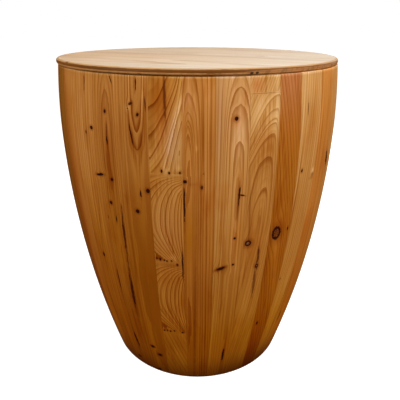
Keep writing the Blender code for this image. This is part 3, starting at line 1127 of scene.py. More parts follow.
def nearest_marks(points, marks, cell):
    """Each point's offset from its nearest mark in half sizes with a safe distance, and which mark it is."""
    best = np.full(len(points), FAR_AWAY)
    offsets = np.full((len(points), 2), FAR_AWAY)
    slacks = np.zeros(len(points))
    which = np.zeros(len(points), int)
    for index, (centre, half_sizes, lean) in enumerate(marks):
        turned = np.column_stack(leaning(points, centre, lean)) / np.array(half_sizes)
        distance = np.hypot(turned[:, 0], turned[:, 1])
        closer = distance < best
        best[closer] = distance[closer]
        offsets[closer] = turned[closer]
        slacks[closer] = cell[0] / half_sizes[0] + cell[1] / half_sizes[1]
        which[closer] = index
    return np.column_stack((offsets, np.maximum(best - slacks, 0.0))), which


def two_channels(marks):
    """Share marks between two channels, so that close neighbours lie in different ones."""
    channels = ([], [])
    for mark in marks:
        centre = mark.mark()[0]
        room = []
        for channel in channels:
            room.append(min((math.dist(centre, other.mark()[0]) for other in channel), default=FAR_AWAY))
        channels[0 if room[0] >= room[1] else 1].append(mark)
    return channels


# Heights between which painted shade deepens a stave's tone towards the foot, the painted shade at its foot,
# and the painted highlight and painted shadow along its upper arris.
LOW_SHADE_TOP = 520.0
LOW_SHADE_FULL = 120.0
FOOT_SHADE = (0.32, 0.24, 0.40)
FOOT_SHADE_TOP = 70.0
FOOT_SHADE_CURVE = 1.5
RIM_HIGHLIGHT = (1.25, 1.50, 2.2)
RIM_HIGHLIGHT_FROM = 529.8
RIM_SHADE = (0.06, 0.04, 0.04)
RIM_SHADE_FROM = 530.6
RIM_SHADE_FULL = 531.0
ARRIS_DEPTH = 0.9


def tinted(tone, tint, cover):
    """A tone multiplied by a tint, by each point's share of it."""
    return tone * (1.0 + (np.array(tint) - 1.0) * cover[:, None])


def stave_tone(tone, low_shade_tint, gap, up, depth):
    """A stave's tone under painted shade that deepens it towards the foot and at the foot, with a painted
    highlight on its upper arris that a painted shadow of the lid's gap darkens.
    """
    tone = tinted(tone, low_shade_tint, share_between(up, LOW_SHADE_TOP, LOW_SHADE_FULL))
    tone = tinted(tone, FOOT_SHADE, share_between(up, FOOT_SHADE_TOP, 0.0) ** FOOT_SHADE_CURVE)
    arris = depth < ARRIS_DEPTH
    tone = tinted(tone, RIM_HIGHLIGHT, 1.0 * (arris & (up > RIM_HIGHLIGHT_FROM)))
    return tinted(tone, RIM_SHADE, arris * gap * share_between(up, RIM_SHADE_FROM, RIM_SHADE_FULL))


def board_tone(board, colour, low_shade_tint, across, up, depth):
    """Colour of each point of a board: its tone, with the staves' painted shade and highlight, and soft
    patches, some of them painted light and shade.
    """
    tone = np.tile(np.array(colour) * board.shade, (len(up), 1))
    if low_shade_tint is not None:
        tone = stave_tone(tone, low_shade_tint, board.gap, up, depth)
    points = np.column_stack((across, up))
    for wash in board.washes:
        side, along = leaning(points, (wash.across, wash.up), wash.lean)
        cover = wash.strength * np.exp(-(side / wash.half_width) ** 2 - (along / wash.half_height) ** 2)
        tone = tinted(tone, TINTS[wash.tint], cover)
    return np.clip(tone, 0.0, 1.0)


# What sets neighbouring boards apart: a step in their ring count, and one in their noise in metres.
RING_STEP = 30.0
GRAIN_STEP = 0.5
NO_MARK = (0.0, 0.0, 0.0)


def dress_board(mesh, board, number, colour, low_shade_tint, cell):
    """Write a board's grain, growth, tone, knots and checks to its mesh."""
    grain = read_vectors(mesh, GRAIN)
    across, up, depth = grain.T / MM
    growth = board_growth(board, across, up, depth)
    write_layer(mesh, GROWTH, growth + RING_STEP * number)
    write_layer(mesh, BOLD, ring_boldness(board, growth, up))
    write_layer(mesh, PITCH, ring_pitch(board, across, up, depth))
    points = np.column_stack((across, up))
    for name, look_name, marks in zip(MARKS, MARK_LOOKS, two_channels(board.knots + board.checks)):
        offsets, which = nearest_marks(points, [mark.mark() for mark in marks], cell)
        looks = np.array([(mark.heart, mark.depth, mark.halo) for mark in marks] or [NO_MARK])
        write_layer(mesh, name, offsets)
        write_layer(mesh, look_name, looks[which])
    write_layer(mesh, GRAIN, grain + np.array((0.0, 0.0, GRAIN_STEP * number)))
    tone = board_tone(board, colour, low_shade_tint, across, up, depth)
    write_layer(mesh, TONE, np.column_stack((tone, np.ones(len(tone)))))


def new_material(name):
    """An empty node material and its sheet."""
    material = bpy.data.materials.new(name)
    material.use_nodes = True
    material.node_tree.nodes.clear()
    return material, NodeSheet(material.node_tree)


def surface(sheet, colour, roughness, height, bump, specular=0.5, metallic=0.0):
    """Principled surface at the end of a material; bump is the strength and depth of its fine relief."""
    relief = sheet.add("ShaderNodeBump", {"Strength": bump[0], "Distance": bump[1], "Height": height})
    inputs = {
        "Base Color": colour,
        "Roughness": roughness,
        "Metallic": metallic,
        "Specular IOR Level": specular,
        "Normal": sheet.out(relief),
    }
    shader = sheet.add("ShaderNodeBsdfPrincipled", inputs)
    sheet.add("ShaderNodeOutputMaterial", {"Surface": sheet.out(shader)})


def grain_noise(sheet, grain, features, detail, roughness=0.5):
    """Noise with this many features per metre across and along the fibres."""
    x, y, z = sheet.parts(grain)
    across, along = features
    return sheet.noise(sheet.vector(x * across, y * along, z * across), detail, roughness)


@dataclass
class WoodLook:
    """How strongly a wood shows its rings, fibres and blotches, how its rings wobble, and how it shines."""

    ring_strength: float
    fibre_strength: float
    blotch_strength: float
    wobble: float
    roughness: float
    specular: float
    bump: float


STAVE_LOOK = WoodLook(
    ring_strength=0.88, fibre_strength=0.90, blotch_strength=0.60, wobble=1.2,
    roughness=0.50, specular=0.02, bump=0.00025,
)
LID_LOOK = WoodLook(
    ring_strength=0.80, fibre_strength=0.30, blotch_strength=0.30, wobble=3.0,
    roughness=0.42, specular=0.08, bump=0.0002,
)
BOTTOM_LOOK = WoodLook(
    ring_strength=0.80, fibre_strength=0.60, blotch_strength=0.35, wobble=3.0,
    roughness=0.62, specular=0.35, bump=0.0003,
)
BATTEN_LOOK = replace(BOTTOM_LOOK, roughness=0.60)
WOOD_BUMP = 0.5

# Features per metre, across the fibres and along them.
WOBBLES = (45.0, 8.0)
FINE_WOBBLES = (260.0, 16.0)
FIBRES = (900.0, 14.0)
STRANDS = (400.0, 5.0)
BLOTCHES = (42.0, 12.0)
PORES = (1500.0, 90.0)
KNOT_EDGES = (420.0, 420.0)
CHECK_EDGES = (420.0, 90.0)
SPECKLES = (520.0, 520.0)

# Features per ring and per metre along the fibres.
STREAKS = (0.84, 4.0)
BANDS = (0.28, 3.5)
BAND_START = 7.0

# A ring's line: where its crisp part is full and where it ends, in line widths, the shares of its crisp and
# soft parts, and the shares of its strength that are left to chance and sure.
LINE_CORE = 0.35
LINE_END = 0.5
CRISP_SHARE = 0.72
SOFT_SHARE = 0.28
CHANCE_SHARE = 0.45
SURE_SHARE = 0.55

# Width and soft tail of the lines in millimetres, and finer lines between them where rings lie far apart.
MAIN_LINE = (1.2, 2.6)
MINOR_LINE = (1.0, 1.8)
MINOR_RINGS = 2.6
MINOR_START = 0.37
MINOR_PITCH = (0.36, 0.18)
MINOR_SHARE = 0.35
FINE_WOBBLE_SHARE = 0.25

# Tints of the fibres and blotches, where each starts and is full, and how the fibres' level is made up.
EARLY_WOOD = (0.24, 0.36, 0.52, 1.0)
EARLY_RANGE = (0.80, 0.25)
EARLY_STRENGTH = 0.5
PALE_FIBRE = (0.20, 0.31, 0.58, 1.0)
PALE_RANGE = (0.49, 0.38)
DEEP_FIBRE = (0.66, 0.45, 0.14, 1.0)
DEEP_RANGE = (0.51, 0.62)
WARM_BLOTCH = (0.84, 0.62, 0.30, 1.0)
WARM_RANGE = (0.52, 0.74)
PORE_RANGE = (0.66, 0.80)
PORE_STRENGTH = 0.3
STREAK_SHARE = 0.34
BAND_SHARE = 0.29
FIBRE_SHARE = 0.15
STRAND_SHARE = 0.22


def ring_lines(sheet, counted, pitch, line, tail):
    """Dark lines where one ring ends: a crisp line of fixed width with a soft shade before it."""
    ring = sheet.math("FRACT", counted)
    number = sheet.math("FLOOR", counted)
    chance = sheet.out(sheet.add("ShaderNodeTexWhiteNoise", {"W": number}, noise_dimensions="1D"), "Value")
    before = (1.0 - ring) / pitch
    shade = sheet.smooth(before, tail, 0.0)
    crisp = sheet.smooth(before, line, line * LINE_CORE)
    after = sheet.smooth(ring / pitch, 0.0, line * LINE_END)
    strength = chance * CHANCE_SHARE + SURE_SHARE
    return (crisp * CRISP_SHARE + shade * shade * SOFT_SHARE) * after * strength


def wood_layers(sheet, look, grain, growth, pitch, bold, tone, late_wood):
    """Colour, ring lines and fibre of clear wood."""
    wobble = grain_noise(sheet, grain, WOBBLES, 2.0) - 0.5
    fine = grain_noise(sheet, grain, FINE_WOBBLES, 1.0) - 0.5
    counted = growth + (wobble + fine * FINE_WOBBLE_SHARE) * pitch * look.wobble
    main = ring_lines(sheet, counted, pitch, *MAIN_LINE)
    minor = ring_lines(sheet, counted * MINOR_RINGS + MINOR_START, pitch * MINOR_RINGS, *MINOR_LINE)
    minor = minor * sheet.smooth(pitch, *MINOR_PITCH)
    lines = sheet.clamp((main + minor * MINOR_SHARE) * bold * look.ring_strength)
    early = sheet.smooth(sheet.math("FRACT", counted), *EARLY_RANGE)
    early = early * sheet.clamp(bold) * look.ring_strength * EARLY_STRENGTH

    fibre = grain_noise(sheet, grain, FIBRES, 3.0, 0.6)
    strand = grain_noise(sheet, grain, STRANDS, 2.0)
    blotch = grain_noise(sheet, grain, BLOTCHES, 3.0)
    pores = sheet.smooth(grain_noise(sheet, grain, PORES, 1.0), *PORE_RANGE)
    along = sheet.parts(grain)[1]
    streak = sheet.noise(sheet.vector(counted * STREAKS[0], along * STREAKS[1], 0.0), 2.0)
    band = sheet.noise(sheet.vector(counted * BANDS[0], along * BANDS[1], BAND_START), 2.0)

    level = streak * STREAK_SHARE + band * BAND_SHARE + fibre * FIBRE_SHARE + strand * STRAND_SHARE
    pale = sheet.smooth(level, *PALE_RANGE) * look.fibre_strength
    deep = sheet.smooth(level, *DEEP_RANGE) * look.fibre_strength
    warm = sheet.smooth(blotch, *WARM_RANGE) * look.blotch_strength
    colour = sheet.mix(pale, tone, PALE_FIBRE, "DODGE")
    colour = sheet.mix(early, colour, EARLY_WOOD, "DODGE")
    colour = sheet.mix(deep, colour, DEEP_FIBRE, "MULTIPLY")
    colour = sheet.mix(lines, colour, late_wood, "MULTIPLY")
    colour = sheet.mix(warm, colour, WARM_BLOTCH, "MULTIPLY")
    colour = sheet.mix(pores * PORE_STRENGTH, colour, late_wood, "MULTIPLY")
    return colour, lines, fibre


# Knots and checks, with reaches in their half sizes from the edge inwards.
KNOT_STAIN = (0.50, 0.26, 0.08, 1.0)
STAIN_REACH = (2.9, 1.0)
STAIN_STRENGTH = 0.6
RED_MARK = (0.10, 0.018, 0.003, 1.0)
KNOT_ROUGH = 0.55
CHECK_ROUGH = 2.2
CORE_EDGE = 1.13
CORE_BLUR = 0.13
SHALLOW_BLUR = 0.5
CORE_STRENGTH = 0.97
CORE_FULL_DEPTH = 1.5
HEART_EDGE = (0.06, -0.10)
HEART_RISE = 4.0
SPECKLE_RANGE = (0.46, 0.58)
SPECKLE_STRENGTH = 0.8


def wood_marks(sheet, colour, grain, dark, heart_tint):
    """Draw the knots and checks that a mesh carries; gives the colour and how hollow each place is."""
    rough = (grain_noise(sheet, grain, KNOT_EDGES, 3.0) - 0.5) * KNOT_ROUGH
    broken = (grain_noise(sheet, grain, CHECK_EDGES, 2.0) - 0.5) * CHECK_ROUGH
    speckle = sheet.smooth(grain_noise(sheet, grain, SPECKLES, 3.0), *SPECKLE_RANGE) * SPECKLE_STRENGTH
    spotted = sheet.mix(speckle, sheet.mix(1.0, colour, heart_tint, "MULTIPLY"), dark)
    hollows = []
    for name, look_name in zip(MARKS, MARK_LOOKS):
        x, y, reach = sheet.parts(sheet.attribute(name, "Vector"))
        heart, depth, halo = sheet.parts(sheet.attribute(look_name, "Vector"))
        near = sheet.math("MAXIMUM", sheet.math("SQRT", x * x + y * y), reach)
        edge = near + rough + broken * sheet.clamp(heart * BROKEN_EDGE)
        stain = sheet.smooth(edge, *STAIN_REACH) * halo * STAIN_STRENGTH * depth
        colour = sheet.mix(stain, colour, KNOT_STAIN, "MULTIPLY")
        blur = (1.0 - depth) * SHALLOW_BLUR + CORE_BLUR
        core = sheet.smooth(edge - CORE_EDGE, blur, blur * -1.0) * sheet.clamp(depth * CORE_FULL_DEPTH)
        inner = sheet.smooth(edge - heart, *HEART_EDGE) * sheet.clamp(heart * HEART_RISE)
        filling = sheet.mix(sheet.clamp(depth * 2.0 - 1.0), RED_MARK, dark)
        colour = sheet.mix(core * CORE_STRENGTH, colour, sheet.mix(inner, filling, spotted))
        hollows.append(core * (1.0 - inner))
    return colour, sheet.math("MAXIMUM", *hollows)


# Colours of the lid's edge.
RIM_GOLD = (0.44, 0.24, 0.092, 1.0)
RIM_DARK = (0.15, 0.050, 0.008, 1.0)
RIM_ORANGE = (0.38, 0.125, 0.018, 1.0)
RIM_TAN = (0.44, 0.185, 0.060, 1.0)
RIM_PALE = (0.74, 0.33, 0.105, 1.0)
RIM_SHADOW = (0.014, 0.009, 0.007, 1.0)

# Where its right and left sides and its shaded front start and are full, as shares of the radius.
RIM_RIGHT = (0.12, 0.50)
RIM_LEFT = (-0.60, -0.90)
RIM_FRONT = (0.35, 0.80, 0.25, 1.0)
FRONT_AT_RIGHT = 0.25

# Where its bands start and are full, in millimetres below the lid's top or from its middle.
GOLD_BAND = (0.30, 0.50)
GOLD_RISE = (219.0, 221.6)
GOLD_LIFT = 0.5
ORANGE_BAND = (0.9, 1.5)
DARK_BAND = (1.0, 1.6)
DARK_END = 4.6
DARK_END_AT_RIGHT = 1.9
DARK_END_BLUR = (0.5, -0.5)
DARK_LESS_AT_RIGHT = 0.2
DARK_LESS_AT_LEFT = 0.4
PALE_BAND = (4.9, 5.5)
PALE_BREAKS = (-0.25, -0.05)
PALE_LESS_AT_RIGHT = 0.15
SHADOW_BAND = (7.4, 7.6)
RIM_ZONE = (221.0, 222.0)
UPPER_ZONE = (4.0, 3.0)
UPPER_ZONE_WIDTH = 2.6

# Its uneven bands and end grain: features per millimetre, levels and strengths.
RIM_ROUGH = (0.06, 0.3)
BAND_SWAY = 1.4
HATCH = (0.20, 0.05)
HATCH_SLANT = 0.16
HATCH_RANGE = (0.46, 0.62)
HATCH_BAND = (0.8, 1.8)
HATCH_STRENGTH = 0.15
HATCH_MORE_AT_RIGHT = 0.30

# Its knots: place on the lid and below its top, half width and half depth in millimetres, and colour.
RIM_KNOTS = (
    ((153.8, -164.2, 5.6), 2.4, 1.6, RIM_SHADOW),
    ((158.9, -159.3, 5.6), 2.2, 1.6, RIM_SHADOW),
    ((-102.1, -200.5, 0.7), 4.6, 1.3, RIM_DARK),
)
RIM_KNOT_EDGE = (1.3, 0.8)
RIM_KNOT_STRENGTH = 0.9


def lid_rim(sheet, colour, front, right):
    """Bands round the lid's edge: golden arris, dark wood, orange, a pale line, a shadow, and end grain."""
    x, y, depth = sheet.parts(sheet.attribute(RIM, "Vector"))
    radius = sheet.math("SQRT", x * x + y * y)
    to_front = (x * front[0] + y * front[1]) / radius
    sideways = (x * right[0] + y * right[1]) / radius
    to_right = sheet.smooth(sideways, *RIM_RIGHT)
    to_left = sheet.smooth(sideways, *RIM_LEFT)
    rough = sheet.noise(sheet.vector(x * RIM_ROUGH[0], y * RIM_ROUGH[0], depth * RIM_ROUGH[1]), 2.0) - 0.5
    around = depth + rough * BAND_SWAY

    gold = sheet.smooth(depth + sheet.smooth(radius, *GOLD_RISE) * GOLD_LIFT, *GOLD_BAND)
    orange = sheet.smooth(around, *ORANGE_BAND)
    dark_end = DARK_END - to_right * DARK_END_AT_RIGHT
    dark = sheet.smooth(around, *DARK_BAND) * sheet.smooth(around - dark_end, *DARK_END_BLUR)
    dark = dark * (1.0 - to_right * DARK_LESS_AT_RIGHT) * (1.0 - to_left * DARK_LESS_AT_LEFT)
    pale = sheet.smooth(depth, *PALE_BAND) * sheet.smooth(rough, *PALE_BREAKS)
    edge = sheet.mix(gold, colour, RIM_GOLD)
    edge = sheet.mix(orange, edge, sheet.mix(to_right, RIM_ORANGE, RIM_TAN))
    edge = sheet.mix(dark, edge, RIM_DARK)
    edge = sheet.mix(pale * (1.0 - to_right * PALE_LESS_AT_RIGHT), edge, RIM_PALE)

    hatch_x = x * HATCH[0] + depth * HATCH_SLANT
    hatch = sheet.noise(sheet.vector(hatch_x, y * HATCH[0], depth * HATCH[1]), 2.0)
    lines = sheet.smooth(hatch, *HATCH_RANGE) * sheet.smooth(depth, *HATCH_BAND)
    edge = sheet.mix(lines * (to_right * HATCH_MORE_AT_RIGHT + HATCH_STRENGTH), edge, RIM_DARK)
    for place, half_width, half_depth, stain in RIM_KNOTS:
        aside = (x - place[0]) * (x - place[0]) + (y - place[1]) * (y - place[1])
        below = (depth - place[2]) * (depth - place[2])
        reach = sheet.math("SQRT", aside / half_width ** 2 + below / half_depth ** 2) + rough
        edge = sheet.mix(sheet.smooth(reach, *RIM_KNOT_EDGE) * RIM_KNOT_STRENGTH, edge, stain)

    shaded = sheet.smooth(to_front - to_right * FRONT_AT_RIGHT, *RIM_FRONT)
    edge = sheet.mix(sheet.smooth(depth, *SHADOW_BAND) * shaded, edge, RIM_SHADOW)
    zone = sheet.smooth(radius + sheet.smooth(depth, *UPPER_ZONE) * UPPER_ZONE_WIDTH, *RIM_ZONE)
    return sheet.mix(zone, colour, edge)


# Where a stave's bare inside starts and is full, how much of it shows, and the ring lines left on it.
BARE_RANGE = (0.90, 1.0)
BARE_STRENGTH = 0.75
BARE_LINES = 0.6

# What fibres, ring lines, hollows and bare wood add to a board's roughness, and to its height.
FIBRE_ROUGH = 0.16
LINE_ROUGH = -0.05
HOLLOW_ROUGH = 0.25
BARE_ROUGH = 0.22
FIBRE_HEIGHT = 0.35
LINE_HEIGHT = -0.25
HOLLOW_HEIGHT = -0.6


def board_wood(name, look, colours, rim_sides=None):
    """Material of a board that carries its own figure."""
    material, sheet = new_material(name)
    grain = sheet.attribute(GRAIN, "Vector")
    growth = sheet.attribute(GROWTH)
    pitch = sheet.attribute(PITCH)
    bold = sheet.attribute(BOLD)
    tone = sheet.attribute(TONE, "Color")
    late_wood = rgba(colours.late_wood)
    colour, lines, fibre = wood_layers(sheet, look, grain, growth, pitch, bold, tone, late_wood)
    raw = sheet.smooth(sheet.attribute(RAW), *BARE_RANGE)
    bare = sheet.mix(sheet.clamp(lines * BARE_LINES), rgba(colours.raw), late_wood, "MULTIPLY")
    colour = sheet.mix(raw * BARE_STRENGTH, colour, bare)
    if rim_sides is not None:
        colour = lid_rim(sheet, colour, *rim_sides)
    colour, hollow = wood_marks(sheet, colour, grain, rgba(colours.knot), rgba(colours.knot_heart))
    roughness = look.roughness + (fibre - 0.5) * FIBRE_ROUGH + lines * LINE_ROUGH
    roughness = sheet.clamp(roughness + hollow * HOLLOW_ROUGH + raw * BARE_ROUGH)
    relief = fibre * FIBRE_HEIGHT + lines * LINE_HEIGHT + hollow * HOLLOW_HEIGHT
    surface(sheet, colour, roughness, relief, (WOOD_BUMP, look.bump), look.specular)
    return material


@dataclass
class HeartLine:
    """Where the heart of a plain board's tree lay, across the board and up, and how wide its rings are."""

    across: float
    height: float
    ring: float


# How strongly unfinished wood shows its rings, and what fibres and ring lines do to its surface.
PLAIN_BOLD = 0.8
PLAIN_FIBRE_ROUGH = 0.2
PLAIN_LINE_HEIGHT = -0.3


def plain_wood(name, look, colours, turn, heart):
    """Material of an unfinished board without its own figure: rings round a heart line beside it."""
    material, sheet = new_material(name)
    local = sheet.add("ShaderNodeMapping", {"Vector": sheet.place(), "Rotation": (0.0, 0.0, -turn)})
    along, across, height = sheet.parts(sheet.out(local))
    grain = sheet.vector(across, along, height)
    from_heart = sheet.vector(across - heart.across, height - heart.height, 0.0)
    away = sheet.out(sheet.add("ShaderNodeVectorMath", {0: from_heart}, operation="LENGTH"), "Value")
    growth = away / heart.ring
    pitch = MM / heart.ring
    raw = rgba(colours.raw)
    late_wood = rgba(colours.late_wood)
    colour, lines, fibre = wood_layers(sheet, look, grain, growth, pitch, PLAIN_BOLD, raw, late_wood)
    roughness = sheet.clamp(look.roughness + (fibre - 0.5) * PLAIN_FIBRE_ROUGH)
    relief = fibre + lines * PLAIN_LINE_HEIGHT
    surface(sheet, colour, roughness, relief, (WOOD_BUMP, look.bump), look.specular)
    return material


# Turning marks and dull spots of the screws in features per metre, and what they do to the surface.
TURNING_ROUND = 300.0
TURNING_ALONG = 6000.0
DULL_SPOTS = 1800.0
DULL_RANGE = (0.50, 0.70)
DULL_STRENGTH = 0.5
STEEL_ROUGH = 0.28
TURNING_ROUGH = 0.12
DULL_ROUGH = 0.2
STEEL_BUMP = (0.3, 0.0001)


def screw_steel(colours):
    """Material of a zinc-plated screw: fine turning marks and dull spots."""
    material, sheet = new_material("screw_steel")
    x, y, z = sheet.parts(sheet.place())
    turning = sheet.noise(sheet.vector(x * TURNING_ROUND, y * TURNING_ROUND, z * TURNING_ALONG), 2.0)
    spots = sheet.noise(sheet.vector(x * DULL_SPOTS, y * DULL_SPOTS, z * DULL_SPOTS), 3.0)
    dull = sheet.smooth(spots, *DULL_RANGE)
    colour = sheet.mix(dull * DULL_STRENGTH, rgba(colours.steel), rgba(colours.dull_steel))
    roughness = sheet.clamp(STEEL_ROUGH + turning * TURNING_ROUGH + dull * DULL_ROUGH)
    surface(sheet, colour, roughness, turning, STEEL_BUMP, metallic=1.0)
    return material


def place_piece(piece, body, node):
    """Let a piece ride on its body and stand for its frame node."""
    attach(piece, body)
    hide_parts(node)


def add_turned(shape, profile, segments, place=(0.0, 0.0, 0.0)):
    """Add a closed solid to a bmesh, turned about Z from (radius, height) points from axis to axis."""
    rings = []
    for radius, height in profile:
        if radius == 0.0:
            rings.append([shape.verts.new(Vector(place) + Vector((0.0, 0.0, height)))] * segments)
            continue
        ring = []
        for step in range(segments):
            angle = 2 * math.pi * step / segments
            corner = Vector((radius * math.cos(angle), radius * math.sin(angle), height))
            ring.append(shape.verts.new(Vector(place) + corner))
        rings.append(ring)
    for upper, lower in zip(rings, rings[1:]):
        for step in range(segments):
            after = (step + 1) % segments
            corners = [upper[step], lower[step], lower[after], upper[after]]
            shape.faces.new(list(dict.fromkeys(corners)))


# How near a cut a corner counts as lying on it.
ON_PLANE = 1e-7


def cut_away(shape, position, side):
    """Cut a closed bmesh at a plane square to Y and close it; side is the one that goes, 1 or -1."""
    bmesh.ops.bisect_plane(
        shape,
        geom=shape.verts[:] + shape.edges[:] + shape.faces[:],
        dist=ON_PLANE,
        plane_co=(0.0, position, 0.0),
        plane_no=(0.0, side, 0.0),
        clear_outer=True,
    )
    open_edges = [edge for edge in shape.edges if edge.is_boundary]
    bmesh.ops.holes_fill(shape, edges=open_edges, sides=0)


def turned_board(profile, segments, low, high):
    """A bmesh of a turned solid, cut at its low and high side across Y; None leaves the round edge."""
    shape = bmesh.new()
    add_turned(shape, profile, segments)
    if low is not None:
        cut_away(shape, low, -1)
    if high is not None:
        cut_away(shape, high, 1)
    return shape


def board_sides(first, width, count):
    """Low and high side of each of a row of boards, None at the round edge."""
    lines = [first + index * width for index in range(count + 1)]
    lines[0] = None
    lines[-1] = None
    return list(zip(lines, lines[1:]))


def inset(sides, gap):
    """A board's two sides, each moved in by a gap."""
    low, high = sides
    return None if low is None else low + gap, None if high is None else high - gap


def mesh_object(name, shape, material):
    """An object from a bmesh, which it uses up."""
    bmesh.ops.recalc_face_normals(shape, faces=shape.faces[:])
    mesh = bpy.data.meshes.new(name)
    shape.to_mesh(mesh)
    shape.free()
    mesh.materials.append(material)
    finish_shading(mesh)
    return new_object(name, mesh)


# Finer grids for the staves in view, and a stave's width at the belly in millimetres.
FINE_GRID = {"Columns": 32, "Rows": 200, "Layers": 5, "Arris Rows": 3}
PLAIN_GRID = {"Columns": 20, "Rows": 120, "Layers": 5, "Arris Rows": 3}
STAVE_WIDTH = 42.5


class TABLE_OT_staves(bpy.types.Operator):
    """Build the ring of turned staves"""

    bl_idname = "drum_table.staves"
    bl_label = "Staves"

    def execute(self, context):
        drum = settings().drum
        colours = settings().colours
        tree, identifiers = stave_tree()
        strays = seam_strays(drum.staves)
        boards = front_boards()
        half_angle = math.pi / drum.staves
        sizes = sizes_by_label(drum, STAVE_SIZES)
        sizes["Half Angle"] = half_angle
        sizes["Material"] = board_wood("stave_wood", STAVE_LOOK, colours)
        for number in range(1, drum.staves + 1):
            grid = FINE_GRID if number in boards else PLAIN_GRID
            values = sizes | grid
            values["Middle"] = drum.first_seam + (2 * number - 1) * half_angle
            left = strays[(number - 2) % drum.staves + 1]
            right = strays[number]
            for label, left_stray, right_stray in zip(("Rim", "Middle", "Foot"), left, right):
                values[f"Left {label}"] = left_stray * MM
                values[f"Right {label}"] = right_stray * MM
            name = f"stave_{number:02d}"
            piece = grown_object(f"dressed_{name}", tree, identifiers, values)
            board = boards.get(number) or plain_board(number)
            cell = (STAVE_WIDTH / grid["Columns"], drum.height / MM / grid["Rows"])
            dress_board(piece.data, board, number, getattr(colours, board.tone), colours.low, cell)
            place_piece(piece, DRUM, name)
        return {"FINISHED"}


# How finely the bottom is turned, the first board's heart line and the step from board to board.
BOTTOM_SEGMENTS = 136
BOTTOM_HEART = HeartLine(-0.05, -0.04, 0.0034)
BOTTOM_HEART_STEP = 0.03


class TABLE_OT_bottom(bpy.types.Operator):
    """Build the boards of the drum's floor"""

    bl_idname = "drum_table.bottom"
    bl_label = "Bottom boards"

    def execute(self, context):
        drum = settings().drum
        low = low_of("bottom_board_1")
        high = top_of("bottom_board_1")
        inner_foot = drum.foot_radius - drum.wall
        slope = (drum.rim_radius - drum.foot_radius) / drum.height
        top = inner_foot + slope * high - drum.bottom_gap
        base = inner_foot + slope * low - drum.bottom_gap
        ease = drum.bottom_arris
        upper = [(0.0, high), (top - ease, high), (top, high - ease)]
        lower = [(base, low + ease), (base - ease, low), (0.0, low)]
        rows = board_sides(-top, 2 * top / drum.bottom_boards, drum.bottom_boards)
        for index, sides in enumerate(rows):
            heart = replace(BOTTOM_HEART, across=BOTTOM_HEART.across + BOTTOM_HEART_STEP * index)
            material = plain_wood(f"bottom_wood_{index + 1}", BOTTOM_LOOK, settings().colours, 0.0, heart)
            shape = turned_board(upper + lower, BOTTOM_SEGMENTS, *inset(sides, drum.glue_line))
            name = f"bottom_board_{index + 1}"
            piece = mesh_object(f"dressed_{name}", shape, material)
            place_piece(piece, DRUM, name)
        return {"FINISHED"}


def plank_lines(lid):
    """Low and high side of each lid plank across the grain, None at the round edge."""
    width = 2 * lid.radius / lid.planks
    return board_sides(lid.middle_offset - lid.planks * width / 2, width, lid.planks)


def between(sides, reach):
    """Middle of a board's two sides, where the round edge lies at a reach."""
    low, high = sides
    return ((-reach if low is None else low) + (reach if high is None else high)) / 2


def lid_place(lid):
    """From the lid's own frame, grain along X, to the table's."""
    turn = Matrix.Rotation(lid.grain_angle, 4, "Z")
    return Matrix.Translation((lid.sideways, 0.0, lid.seat)) @ turn


# How finely the lid is divided, the size of a cell in millimetres, and what sets its boards' noise apart.
LID_RINGS = 44
LID_SEGMENTS = 240
EDGE_STEPS = 6
LID_CELL = (6.0, 6.0)
FIRST_PLANK_NUMBER = 45


def lid_profile(lid):
    """The lid's section: flat faces in rings from the middle, joined by a rounded rim."""
    flat = lid.radius - lid.edge_round
    upper = [(flat * index / LID_RINGS, lid.thickness) for index in range(LID_RINGS)]
    for step in range(EDGE_STEPS + 1):
        angle = math.pi / 2 * step / EDGE_STEPS
        drop = lid.edge_round * (1.0 - math.cos(angle))
        upper.append((flat + lid.edge_round * math.sin(angle), lid.thickness - drop))
    lower = [(radius, lid.thickness - height) for radius, height in reversed(upper)]
    return upper + lower


def lid_board(shade, heart, ring, rings, **tints):
    """A lid plank with rings of one width, its own patches, and a painted sheen that runs along the whole
    lid, warmer and darker towards one end of the grain, paler and cooler towards the other.
    """
    # Painted sheen: reflected light that pales the lid towards the right.
    washes = patches(warm=[(0, -240, 400, 260, 1.0)], cool=[(0, 240, 400, 260, 1.0)]) + patches(**tints)
    return Board("lid", shade, heart=heart, left_ring=ring, right_ring=ring, rings=rings, washes=washes)


def lid_boards():
    """The lid's planks from the front to the back, grain lengths in millimetres from the lid's middle."""
    return (
        lid_board(1.00, 20.0, 5.6, [(-230, 16.0), (230, 17.5)], cool=[(-26, 90, 22, 120, 1.0)]),
        lid_board(1.02, -30.0, 5.4, [(-230, 9.0), (230, 7.0)], warm=[(0, -60, 50, 110, 0.5)]),
        lid_board(
            0.98, 8.0, 5.2, [(-230, 4.0), (0, 5.0), (230, 7.0)],
            streak=[(-32, -130, 9, 110, 0.9, -0.10), (-20, 80, 9, 130, 0.8), (44, 0, 6, 400, 0.3)],
            cool=[(30, -150, 40, 90, 0.5)],
        ),
        lid_board(
            1.00, 40.0, 5.6, [(-230, 8.0), (230, 6.0)],
            streak=[(42, 40, 12, 300, 0.9)],
            cool=[(0, -130, 60, 100, 0.6)],
        ),
        lid_board(0.97, -15.0, 5.4, [(-230, 5.0), (230, 8.0)]),
    )


